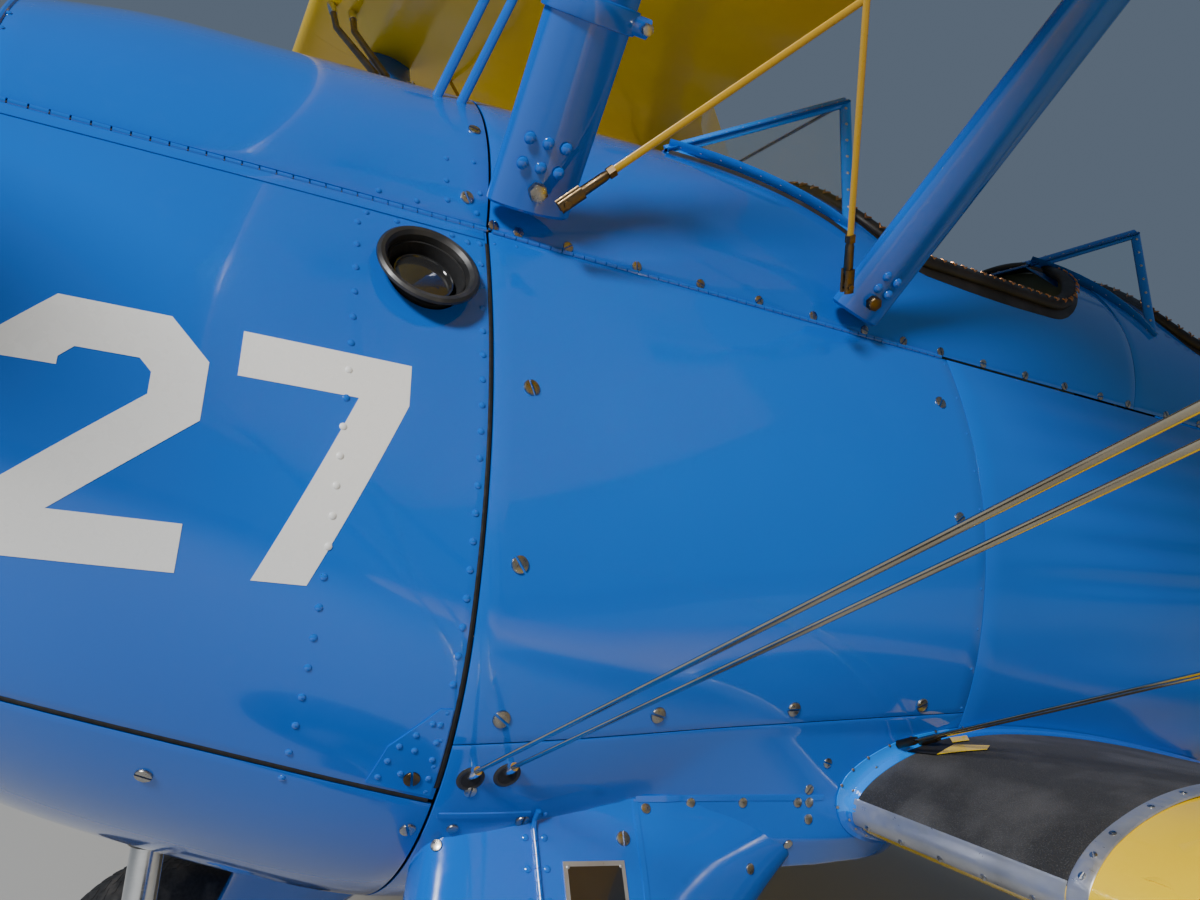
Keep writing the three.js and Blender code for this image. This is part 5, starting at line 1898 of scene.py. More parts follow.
    def ailerons(self) -> None:
        """The lower wing's ailerons, with their hinge brackets."""
        for side in Side:
            obj = self.copy_node(f"aileron_cloth_{side.word}", f"aileron_{side.word}")
            self.dress(obj, Finish.YELLOW, f"aileron_{side.word}", "yellow_paint",
                       [f"aileron_{side.word}"], 40.0)
        brackets = []
        first, last, hinge = self.aileron
        for share in (0.08, 0.5, 0.92):
            x = first + (last - first) * share
            at = LOWER.point(x, [(hinge - 95) / CHORD, hinge / CHORD], 0.0)
            brackets.append(self.tube("bracket", at, [13.0, 13.0], 12, 0.3, [0, 0, 1.0]))
        self.both(brackets, "aileron_brackets", Finish.STEEL, slot="steel")

    def walkway(self) -> None:
        """The gritty walkway with its edge, the bright strip on the nose, and the wires' slot."""
        inner, outer = (np.array(table, float) for table in (self.walk_inner, self.walk_outer))
        fine = 0.6 * np.concatenate([np.linspace(0.0, 0.55, 70) ** 2, np.linspace(0.31, 1.0, 50)])
        edge = np.interp(fine, inner[:, 1], inner[:, 0])
        rows = [LOWER.point(366 + (edge + 4 - 366) * share, fine + 0.0005, 1.0, 1.0)
                for share in np.linspace(0, 1, 18)]
        obj = self.shell("walkway_sheet", rows, (0, 0, 1), 2.2, 0.4)
        self.both(obj, "walkway_sheet", Finish.WALKWAY)
        turn = np.concatenate([-0.012 * np.linspace(1.0, 0.05, 14) ** 2, fine])
        face = np.where(turn < 0, -1.0, 1.0)
        left, right = (np.interp(turn, line[:, 1], line[:, 0]) for line in (inner, outer))
        rows = [LOWER.point(left + (right - left) * share, np.abs(turn), face, out)
                for share, out in ((0.0, 1.4), (0.06, 3.2), (0.35, 3.4), (0.65, 3.4), (0.94, 2.6),
                                   (1.0, 1.0))]
        obj = self.shell("walkway_edge_strip", rows, (0, 0, 1), 2.0, 0.4)
        self.both(obj, "walkway_edge_strip", Finish.ALUMINIUM, slot="steel")
        x = spread(398, 756, 10)
        around = np.array([0.0012, 0.0006, 0.0001, 0.0, 0.0003, 0.001, 0.002, 0.0034, 0.005,
                           0.0068, 0.0078])
        face = np.array([1.0] * 3 + [-1.0] * 8)
        net = np.array([LOWER.point(x, a, b, 2.6) for a, b in zip(around, face)])
        obj = self.shell("root_nose_strip", net, (0, -1.0, -0.2), 2.0, 0.5)
        self.both(obj, "root_nose_strip", Finish.ALUMINIUM, slot="steel")
        x = np.array([441, 505, 573, 642, 712], float)
        points = LOWER.point(x, 0.0045, -1.0, 3.0)
        arc_f = np.array([0.004, 0.017, 0.04, 0.089, 0.135, 0.19, 0.25, 0.32, 0.40, 0.48])
        arc_x = sum(np.interp(arc_f, line[:, 1], line[:, 0]) for line in (inner, outer)) / 2
        arc = LOWER.point(arc_x, arc_f, 1.0, 3.2)
        normals = np.concatenate([np.tile([0.0, -0.96, -0.28], (len(points), 1)),
                                  np.stack([0 * arc_f, -np.interp(arc_f, [0, 0.03, 0.1],
                                                                  [0.9, 0.5, 0.12]),
                                            np.interp(arc_f, [0, 0.03, 0.1], [0.4, 0.86, 1.0])],
                                           1)])
        self.heads("walkway_screws", "slot", (np.concatenate([points, arc]), normals), 4.4,
                   Finish.STEEL, turn=(0, 0.9))
        for name, corners, out, finish, slot in self.slot_pieces:
            def on(u: Array, v: Array, out: float = out) -> Array:
                """Points over the wing for the piece's flat coordinates."""
                return LOWER.point(u, v / CHORD, 1.0, out)
            obj = self.patch(name, np.array(corners) * np.array([1.0, CHORD]), on, 0.5, 14.0,
                             (0, 0, 1))
            self.both(obj, name, finish, slot=slot)

    def tapes(self) -> None:
        """Pinked tapes over every rib, on both faces, in one mesh for each wing panel."""
        for wing, name, start in ((UPPER, "upper", UPPER.root + 0.5), (LOWER, "lower", 372.0)):
            strips = []
            first, last, _ = self.aileron
            for x in np.arange(start + self.rib_pitch, wing.tip - 420, self.rib_pitch):
                if wing is LOWER and x < 800:
                    continue
                end = 0.74 if wing is LOWER and first < x < last else 0.985
                for face in (1.0, -1.0):
                    f = np.linspace(0.015, end, 26)
                    rows = [wing.point(x + off, f, face, 0.5 + lift)
                            for off, lift in ((-19, -0.5), (-6, 0.9), (6, 0.9), (19, -0.5))]
                    strip = self.grid("tape", rows)
                    turn_towards(strip, (0, 0, face))
                    strips.append(strip)
            joined = self.joined(f"{name}_rib_tapes", strips)
            self.modify(joined, "SOLIDIFY", thickness=0.0008, offset=-1)
            self.both(joined, f"{name}_rib_tapes", Finish.YELLOW, slot="yellow_paint")

    def underside(self, x: float, y: float) -> float:
        """Height of the upper wing's lower face over a point in plan."""
        return float(UPPER.point([x], [(y - UPPER.y) / CHORD], -1.0)[0, 2])

    def centre_details(self) -> None:
        """What shows at the centre section: the tank's sump, gauge, grommets and filler cap."""
        for name, x, y, r in (("sump", -150, 1085, 34), ("fuel_gauge", 0, 1500, 46)):
            foot = self.underside(x, y)
            obj = self.turned(name, (x, y, foot + 4), (0, 0, -1),
                              [(r, 0), (r, 6), (r * 0.8, 12), (r * 0.45, 30), (r * 0.3, 52),
                               (1, 54)], 32)
            self.dress(obj, Finish.CAST if name == "sump" else Finish.ALUMINIUM)
        for x, y in ((200, 1167), (200, 1207)):
            obj = self.turned("tube_grommet", (x, y, self.underside(x, y) + 3), (0, 0, -1),
                              [(5, 0), (6, 6), (12, 7), (14, 3), (14, 0)], 24, closed=False)
            self.dress(obj, Finish.RUBBER)
        crown = UPPER.point([0.0], [0.26], 1.0)[0]
        cap = self.turned("fuel_cap", crown - np.array([0, 0, 3]), (0, 0, 1),
                          [(52, 0), (52, 6), (44, 9), (42, 18), (36, 22), (1, 22)], 40)
        self.dress(cap, Finish.ALUMINIUM, slot="steel")
        for side in Side:
            head = [868 * side.value, 1096.0]
            block = self.block("strut_fitting", [[[head[0] + a, head[1] + b, h] for a, b in
                                                  ((-26, -42), (26, -42), (26, 42), (-26, 42))]
                                                 for h in (1052, 1120)], 4.0)
            self.dress(block, Finish.CAST, slot="steel")


@dataclass
class Bracing(Section):
    """Struts and wires between the wings and over the fuselage."""

    bay: float = 3710.0
    front_spar: float = 211.0
    rear_spar: float = 1007.0
    slim: float = 0.36
    flying: tuple[tuple[str, float, Point, tuple[Point, Point]], ...] = (
        ("front", 211.0, (-10, 20, -112), ((440, 1093, -384), (440, 1136, -379))),
        ("rear", 1007.0, (-10, 30, -95), ((410, 1770, -341), (410, 1813, -336))))

    def build(self) -> None:
        """Builds the struts and wires."""
        self.cabane()
        self.interplane()
        self.wires()
        self.fuel_tubes()

    def strut(self, name: str, foot: Point, head: Point, chords: Point2,
              ratio: float) -> bpy.types.Object:
        """A streamlined strut, a little drawn in at its ends.

        Args:
            name: The strut's name.
            foot: Its lower end.
            head: Its upper end.
            chords: Its chord at each end.
            ratio: Thickness over chord.

        Returns:
            The mesh object.
        """
        a, b = np.array(foot, float), np.array(head, float)
        axis = unit(b - a)
        aft = unit(np.array([0, 1.0, 0]) - axis * axis[1])
        across = np.cross(axis, aft)
        t = circle(48)
        along = np.cos(t)
        wide = np.sin(t) * taper(along)
        rings = []
        for share in (0.0, 0.004, 0.02, 0.25, 0.5, 0.75, 0.98, 0.996, 1.0):
            end = 0.9 if share in (0.0, 1.0) else 1.0
            chord = (chords[0] + (chords[1] - chords[0]) * share) * end
            thick = chord * ratio * end
            rings.append(a + (b - a) * share + np.outer(along * chord / 2, aft)
                         + np.outer(wide * thick / 2, across))
        return self.loft(name, rings)

    def cabane(self) -> None:
        """The four struts over the fuselage, with their riveted feet and the front pair's band."""
        table = (("front", (340, 1106, 318), (868, 1096, 1085), (116, 104), 3, (93, 61), 25.0,
                  -6.0, 13.0),
                 ("rear", (330, 1672, 305), (868, 1890, 1060), (104, 92), 2, (76, 54), 24.0, 4.0,
                  12.0))
        for name, foot, head, chords, columns, heights, pitch, shift, bolt in table:
            obj = self.strut(f"cabane_{name}", foot, head, chords, self.slim)
            self.both(obj, f"cabane_{name}_strut", Finish.BLUE, "airframe", "blue_paint",
                      f"cabane_{name}_*")
            a, b = np.array(foot, float), np.array(head, float)
            axis = unit(b - a)
            aft = unit(np.array([0, 1.0, 0]) - axis * axis[1])
            out = np.cross(aft, axis)
            out = out if out[0] > 0 else -out
            half = chords[0] * (self.slim / 2)
            rivets = [a + axis * height + aft * (shift + pitch * (k - (columns - 1) / 2))
                      + out * (half - 0.5) for height in heights for k in range(columns)]
            self.heads(f"cabane_{name}_rivets", "rivet", (rivets, out), 8.2, Finish.BLUE,
                       "blue_paint")
            nut = a + axis * 32 - aft * 2 + out * (half - 0.5)
            self.heads(f"cabane_{name}_bolt", "hex", (nut, out), bolt,
                       Finish.STEEL if name == "front" else Finish.BRONZE)
            if name == "front":
                self.band(a + (b - a) * 0.275, axis, aft, out, chords[0])

    def band(self, at: Array, axis: Array, aft: Array, out: Array, chord: float) -> None:
        """The clamp round the front strut where its lug for a wire is.

        Args:
            at: Its centre on the strut.
            axis: The strut's direction.
            aft: The chord's direction.
            out: The direction of the strut's outer face.
            chord: The strut's chord.
        """
        t = circle(48)
        wide = np.sin(t) * taper(np.cos(t))
        rings = []
        for along, grow in ((-15, 0.5), (-14, 3.5), (-11, 4.5), (11, 4.5), (14, 3.5), (15, 0.5)):
            rings.append(at + axis * along + np.outer(np.cos(t) * (chord / 2 + grow), aft)
                         + np.outer(wide * (chord * (self.slim / 2) + grow), out))
        parts = [self.loft("band", rings),
                 self.tube("lug", [at + aft * (chord / 2 - 8), at + aft * (chord / 2 + 20)], 12.0,
                           16, 0.6, axis)]
        self.both(parts, "cabane_strut_band", Finish.BLUE, slot="blue_paint")
        self.heads("cabane_band_bolt", "hex", (at + aft * (chord / 2 + 14) + out * 8, out), 8.0,
                   Finish.STEEL)

    def spar_point(self, wing: Wing, behind: float, lift: float = 0.0) -> Array:
        """A point over a wing's middle line at the outer bay."""
        return wing.point([self.bay], [behind / CHORD], 0.0)[0] + np.array([0, 0, lift])

    def interplane(self) -> None:
        """The N-struts between the wings on each side."""
        parts = []
        for low, high, chord in ((self.front_spar, self.front_spar, 110.0),
                                 (self.rear_spar, self.rear_spar, 110.0),
                                 (self.front_spar + 45, self.rear_spar - 30, 70.0)):
            foot, head = self.spar_point(LOWER, low, 60.0), self.spar_point(UPPER, high, -60.0)
            parts.append(self.strut("strut", tuple(foot), tuple(head), (chord, chord), 0.4))
        self.both(parts, "interplane_struts", Finish.BLUE, "airframe", "blue_paint",
                  "interplane_strut_*")
        plates = []
        for wing, behind, lift in ((LOWER, self.front_spar, 78.0), (LOWER, self.rear_spar, 72.0),
                                   (UPPER, self.front_spar, -78.0),
                                   (UPPER, self.rear_spar, -72.0)):
            p = self.spar_point(wing, behind, lift)
            plates.append(self.tube("cuff", [p - [0, 0, 22], p + [0, 0, 22]], 60.0, 32, 0.46,
                                    [0, 1.0, 0]))
        self.both(plates, "interplane_cuffs", Finish.ALUMINIUM, slot="steel")

    def wire(self, name: str, foot: Array, head: Array, wide: float,
             ends: float = 0.0) -> bpy.types.Object:
        """A straight wire, flattened where its half width is over 3 and round otherwise.

        Args:
            name: The wire's name.
            foot: Its lower end.
            head: Its upper end.
            wide: Half its width.
            ends: Length at each end over which extra rings are set.

        Returns:
            The mesh object.
        """
        a, b = np.asarray(foot, float), np.asarray(head, float)
        length = float(np.linalg.norm(b - a))
        at = np.array([0, ends * 0.8, ends, length - ends, length - ends * 0.8,
                       length]) / length if ends else np.array([0, 1.0])
        path = a + np.outer(at, b - a)
        return self.tube(name, path, wide, 16, 0.42 if wide > 3 else 1.0, [0, 1.0, 0])

    def fork(self, end: Array, way: Array) -> list[bpy.types.Object]:
        """A fork end with its barrel, lock nut and pin.

        Args:
            end: Where the pin is.
            way: The direction of the wire away from it.

        Returns:
            The fork's parts.
        """
        way = unit(way)
        flat = unit(np.cross(way, [0, 1.0, 0]))
        parts = [self.tube("barrel", [end + way * a for a in (16, 22, 60, 66)],
                           [4.6, 7.0, 6.6, 5.2], 16),
                 self.tube("nut", [end + way * 66, end + way * 76], 8.4, 6)]
        for s in (-1, 1):
            parts.append(self.tube("cheek", [end - way * 10 + flat * 6 * s, end + way * 26
                                             + flat * 6 * s], 8.0, 12, 0.34, np.cross(flat, way)))
        parts.append(self.tube("pin", [end - flat * 12, end + flat * 12], 4.6, 12))
        return parts

    def wires(self) -> None:
        """Cross wires over the fuselage and the flying and landing wires."""
        cross = [((396, 1137, 320), (828, 1880, 1070)), ((405, 1592, 317), (828, 1215, 1085))]
        rods, forks = [], []
        for foot, head in cross:
            a, b = np.array(foot, float), np.array(head, float)
            rods.append(self.wire("rod", a + unit(b - a) * 30, b - unit(b - a) * 30, 5.4))
            forks += self.fork(a, b - a) + self.fork(b, a - b)
        self.both(rods, "cabane_rods", Finish.MUSTARD, "airframe", "steel", "cabane_wires_*")
        self.both(forks, "cabane_forks", Finish.BRONZE, slot="steel")
        for word, spar, lean, feet in self.flying:
            head = self.spar_point(UPPER, spar) + np.array(lean, float)
            pair, sleeves = [], []
            for k, foot in enumerate(feet):
                a = np.array(foot, float)
                b = head + np.array([0, 43.0 * k, 0])
                way = unit(b - a)
                pair.append(self.wire("wire", a - way * 6, b, 4.6, 110.0))
                sleeves.append(self.tube("sleeve", [a - way * (36 if word == "front" else 6), a
                                                    + way * 24, a + way * 30],
                                         [6.2, 6.2, 5.0], 18))
            self.both(pair, f"flying_wires_{word}", Finish.WIRE_STEEL, "airframe", "steel",
                      f"flying_wire_{word}_*")
            self.both(sleeves, f"flying_wire_sleeves_{word}",
                      Finish.POLISHED if word == "front" else Finish.BRONZE, slot="steel")
        low = self.spar_point(LOWER, self.front_spar) + np.array([-80, 0, 0])
        landing = self.wire("landing", [800, 1150, 1080], low, 4.2, 110.0)
        self.both(landing, "landing_wires", Finish.WIRE_STEEL, "airframe", "steel",
                  "landing_wire_*")

    def fuel_tubes(self) -> None:
        """The flattened tubes from the deck up to the tank, and the hoses on the other side."""
        for name, low, high in (("fore", (200, 993, 480), (200, 1167, 1075)),
                                ("aft", (200, 1028, 480), (200, 1207, 1070))):
            obj = self.tube("fuel_tube", [low, high], 7.0, 16, 0.5, [0, 1.0, 0])
            self.dress(obj, Finish.BLUE, slot="blue_paint").name = f"fuel_tube_{name}"
        for name, path in (("fore", ((-731, 927, 1082), (-640, 938, 980), (-300, 985, 740),
                                     (-140, 1003, 520))),
                           ("aft", ((-713, 975, 1070), (-622, 975, 976), (-300, 1006, 742),
                                    (-140, 1030, 520)))):
            hose = self.tube("gauge_hose", path, 7.5, 16)
            self.dress(hose, Finish.BRONZE).name = f"gauge_hose_{name}"
            ends = np.array(path[:2], float)
            ferrule = self.tube("ferrule", ends[0]
                                + np.outer((0.06, 0.08, 0.4, 0.46), ends[1] - ends[0]),
                                [9.0, 11.0, 10.0, 8.0], 16)
            self.dress(ferrule, Finish.POLISHED).name = f"gauge_ferrule_{name}"


@dataclass
class Gear(Section):
    """The main legs and wheels, and the tail wheel."""

    rows: tuple[tuple[float, ...], ...] = (
        # height, outboard face, leading edge, trailing edge, thickness, squareness
        (-380, 398, 1090, 1680, 150, .5), (-430, 405, 1079, 1670, 150, .5),
        (-480, 435, 1069, 1650, 150, .5), (-530, 464, 1059, 1573, 152, .5),
        (-580, 494, 1049, 1502, 154, .5), (-640, 530, 1037, 1462, 148, .55),
        (-760, 601, 1013, 1380, 130, .6), (-900, 685, 985, 1280, 112, .7),
        (-1040, 768, 955, 1160, 98, .8), (-1150, 834, 933, 1080, 88, .9),
        (-1225, 878, 918, 1026, 80, 1))
    seams: tuple[tuple[Point2, ...], ...] = (
        ((1070, -434), (1185, -434)), ((1334, -421), (1334, -560)), ((1334, -421), (1640, -421)))
    screws: tuple[Point2, ...] = ((1094, -453), (1081, -475), (1419, -427), (1503, -427),
                                  (1595, -427), (1615, -427), (1587, -484),
                                  (1616, -450), (1510, -507), (1349, -432))
    rivets: tuple[Point2, ...] = ((1183, -462), (1183, -492), (1183, -522), (1207, -436),
                                  (1207, -462), (1207, -492), (1207, -522))
    plate: tuple[float, float, float, float] = (1227.0, 1308.0, -485.0, -560.0)
    track: float = 978.0
    axle_y: float = 960.0
    axle_z: float = -1240.0

    def build(self) -> None:
        """Builds the legs, wheels and tail wheel."""
        self.leg()
        self.fairing_details()
        for side in Side:
            self.wheel(side)
        self.tail_wheel()

    def at(self, z: Array) -> list[Array]:
        """The leg's outboard face, front, back, thickness and squareness at a height."""
        table = np.array(self.rows, float)[::-1]
        return [np.interp(z, table[:, 0], table[:, k]) for k in range(1, 6)]

    def face(self, y: Array, z: Array) -> Array:
        """The leg's outboard face at a station and a height, and far inboard where there is none.

        Args:
            y: Stations.
            z: Heights.

        Returns:
            Distances to the left.
        """
        face, lead, trail, thick, square = self.at(z)
        s = 2 * (y - lead) / (trail - lead) - 1
        inside = np.clip(1 - s**2, 0, 1)
        wide = inside ** (square / 2) * taper(s)
        return np.where(inside > 0, face - thick / 2 * (1 - wide), -1e3)

    def on(self, y: Array, z: Array, out: float = 0.0) -> tuple[Array, Array]:
        """Points and normals on whichever is further out, the leg's fairing or the body.

        Args:
            y: Stations.
            z: Heights.
            out: How far above the surface.

        Returns:
            The points and their normals.
        """
        y, z = np.asarray(y, float), np.asarray(z, float)
        def surface(a: Array, b: Array) -> Array:
            """The outermost surface at a station and a height."""
            return np.stack([np.maximum(self.face(a, b), SKIN.side(a, b)), a, b], -1)
        du = surface(y + 2, z) - surface(y - 2, z)
        dv = surface(y, z + 2) - surface(y, z - 2)
        normal = unit(np.cross(du, dv))
        normal = normal * np.where(normal[..., :1] < 0, -1, 1)
        return surface(y, z) + normal * out, normal

    def leg(self) -> None:
        """The faired leg, drawn out from the body down to the axle."""
        t = circle(96)
        rings = []
        for z in np.linspace(-380, -1225, 60):
            face, lead, trail, thick, square = (float(v) for v in self.at(np.array(z)))
            wide = np.sign(np.sin(t)) * np.abs(np.sin(t)) ** square * taper(np.cos(t))
            rings.append(np.stack([face - thick / 2 + wide * thick / 2, lead
                                   + (trail - lead) * (1 + np.cos(t)) / 2,
                                   np.full_like(t, z)], -1))
        parts = [self.loft("leg", rings),
                 self.turned("boss", (848, self.axle_y, self.axle_z), (1, 0, 0),
                             [(40, -58), (56, -40), (62, 0), (56, 30), (40, 44)], 40),
                 self.turned("axle", (840, self.axle_y, self.axle_z), (1, 0, 0),
                             [(28, 0), (28, 222), (42, 222), (42, 230), (40, 232)],
                             32)]
        self.both(parts, "gear_leg_fairing", Finish.BLUE, "airframe", "blue_paint", "gear_leg_*")

    def fairing_details(self) -> None:
        """The fairing's door with its piano hinge, its seams, screws and a bare plate."""
        seams = []
        for path in self.seams:
            line = polyline([(y, z) for y, z in path], 6.0)
            points, normals = self.on(line[:, 0], line[:, 1])
            along = unit(np.gradient(points, axis=0))
            over = np.cross(normals, along)
            net = np.stack([points + over * a + normals * h for a,
                            h in ((-4.5, 0.0), (-3.6, 1.6), (3.6, 1.6), (4.5, 0.0))])
            strip = self.shell("seam", net, (1, 0, 0.2), 1.0, 0)
            seams.append(strip)
        self.both(seams, "fairing_seams", Finish.BLUE, slot="blue_paint")
        hinge = []
        top, low = np.array((1194.0, -428.0)), np.array((1195.0, -530.0))
        count = 8
        for k in range(count):
            a, b = (top + (low - top) * (k + end) / count for end in (0.04, 0.96))
            ends, _ = self.on(np.array([a[0], b[0]]), np.array([a[1], b[1]]), 2.0)
            hinge.append(self.tube("knuckle", ends, 3.4, 12))
        self.both(hinge, "fairing_hinge", Finish.BLUE, slot="blue_paint")
        for name, stamp, radius, finish, slot, places in (
                ("fairing_screws", "screw", 7.0, Finish.STEEL, "steel", self.screws),
                ("fairing_rivets", "rivet", 4.4, Finish.BLUE, "blue_paint", self.rivets),
                ("fairing_stud", "slot", 9.0, Finish.STEEL, "steel",
                 ((1311, -463), (1179, -444)))):
            yz = np.array(places, float)
            self.heads(name, stamp, self.on(yz[:, 0], yz[:, 1], 0.4), radius, finish, slot)
        lead, trail, top_z, low_z = self.plate
        for name, inset, out, thick, finish, slot in (
                ("rating_plate_rim", 0.0, 0.6, 1.2, Finish.ALUMINIUM, "steel"),
                ("rating_plate_face", 5.0, 1.6, 0.5, Finish.GLOSS_BLACK, None)):
            y0, y1, z0, z1 = lead + inset, trail - inset, low_z + inset, top_z - inset
            frame = [(y0, z0), (y1, z0), (y1, z1), (y0, z1)]

            def on(u: Array, v: Array, out: float = out) -> Array:
                """Points on the fairing for the plate's flat coordinates."""
                return self.on(u, v, out)[0]
            obj = self.patch(name, frame, on, thick, 12.0)
            self.both(obj, name, finish, slot=slot)
        y, z = np.array([(y, z) for z in (top_z - 5.5, low_z + 5.5)
                         for y in (lead + 5.5, trail - 5.5)]).T
        self.heads("plate_rivets", "rivet", self.on(y, z, 1.8), 2.6, Finish.ALUMINIUM)

    def wheel(self, side: Side) -> None:
        """A wheel with its treaded tyre, disc and hub cap.

        Args:
            side: The wheel's side.
        """
        s = side.value
        centre, axis = (self.track * s, self.axle_y, self.axle_z), (s, 0, 0)
        carcass = [(166, -60), (176, -74), (200, -90), (232, -95), (262, -91), (284, -78),
                   (297, -56), (303, -28), (304.5, 0), (303, 28), (297, 56), (284, 78), (262, 91),
                   (232, 95), (200, 90), (176, 74), (166, 60), (164, 0)]
        tyre = self.turned("tyre", centre, axis, carcass, 96, closed=False)
        self.modify(tyre, "SUBSURF", levels=1, render_levels=1)
        body = f"wheel_{side.word}"
        self.dress(tyre, Finish.TYRE, body, "tyre", [f"tyre_{side.word}"], 60.0)
        self.tread(side)
        disc = [(30, -68), (60, -70), (70, -62), (140, -52), (160, -60), (168, -62), (168, -52),
                (158, -46), (158, 46), (168, 52),
                (168, 62), (160, 60), (150, 50), (90, 60), (64, 70), (40, 72), (30, 72)]
        obj = self.turned("wheel_disc", centre, axis, disc, 72, closed=False)
        self.dress(obj, Finish.ALUMINIUM, body, "wheel_alloy", [f"wheel_{side.word}"])
        nuts = [(centre[0] + s * 57, centre[1] + 110 * math.cos(a), centre[2] + 110 * math.sin(a))
                for a in (2 * math.pi * k / 8 for k in range(8))]
        self.dress(self.scatter(f"wheel_bolts_{side.word}", self.stamp("hex"), nuts, axis, 7.0),
                   Finish.STEEL, body, "steel")

    def tread(self, side: Side) -> None:
        """Herringbone lugs round the tyre.

        Args:
            side: The wheel's side.
        """
        lugs, faces = [], []
        count = 72
        centre = np.array([self.track * side.value, self.axle_y, self.axle_z])
        for k in range(count):
            for h in (-1, 1):
                for lane in range(2):
                    across = np.array([6 + 30 * lane, 30 + 30 * lane]) * h
                    start = 2 * math.pi * k / count + 0.018 * lane
                    ring = []
                    for w, lead in ((across[0], 0.0), (across[1], 0.05)):
                        radius = np.interp(abs(w), [0, 28, 56, 70], [304.2, 302.8, 296.5, 289.0])
                        for lift in (-2.0, 1.0):
                            for width in (0.0, 0.034):
                                a = start + lead + width
                                r = min(radius + lift, 305.0)
                                ring.append(centre + np.array([w, math.cos(a) * r,
                                                               math.sin(a) * r]))
                    base = len(lugs)
                    lugs.extend(ring)
                    a0, a1, a2, a3, b0, b1, b2, b3 = range(base, base + 8)
                    faces += [(a0, a1, a3, a2), (b0, b2, b3, b1), (a0, b0, b1, a1),
                              (a2, a3, b3, b2), (a0, a2, b2, b0), (a1, b1, b3, a3)]
        mesh = bpy.data.meshes.new("tread")
        mesh.from_pydata(self.place.row(np.array(lugs)).tolist(), [], faces)
        obj = linked(f"tyre_tread_{side.word}", mesh)
        select_only(obj)
        with editing():
            bpy.ops.mesh.normals_make_consistent(inside=False)
        self.dress(obj, Finish.TYRE, f"wheel_{side.word}", "tyre", smooth=0.0)

    def tail_wheel(self) -> None:
        """The steerable tail wheel, from the CAD shapes with rounded shading."""
        fork = self.copy_node("tail_fork_metal", "tailwheel_fork")
        self.dress(fork, Finish.STEEL, "tail_fork", "steel", ["tailwheel_fork"])
        low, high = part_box("tailwheel")
        centre = (0.0, *self.place.station_and_height((np.array(low) + np.array(high)) / 2))
        tyre = self.turned("tail_tyre", centre, (1, 0, 0),
                           [(62, -24), (70, -34), (86, -43), (104, -40), (117, -26), (123.5, 0),
                            (117, 26), (104, 40), (86, 43), (70, 34), (62, 24)], 64, closed=False)
        self.dress(tyre, Finish.TYRE, "tail_wheel", "tyre", ["tailwheel"], 60.0)
        disc = self.turned("tail_disc", centre, (1, 0, 0),
                           [(11, -34), (26, -34), (32, -22), (58, -22), (66, -26), (66, 26),
                            (58, 22), (32, 22), (26, 34), (11, 34)], 48, closed=False)
        self.dress(disc, Finish.ALUMINIUM, "tail_wheel", "wheel_alloy")


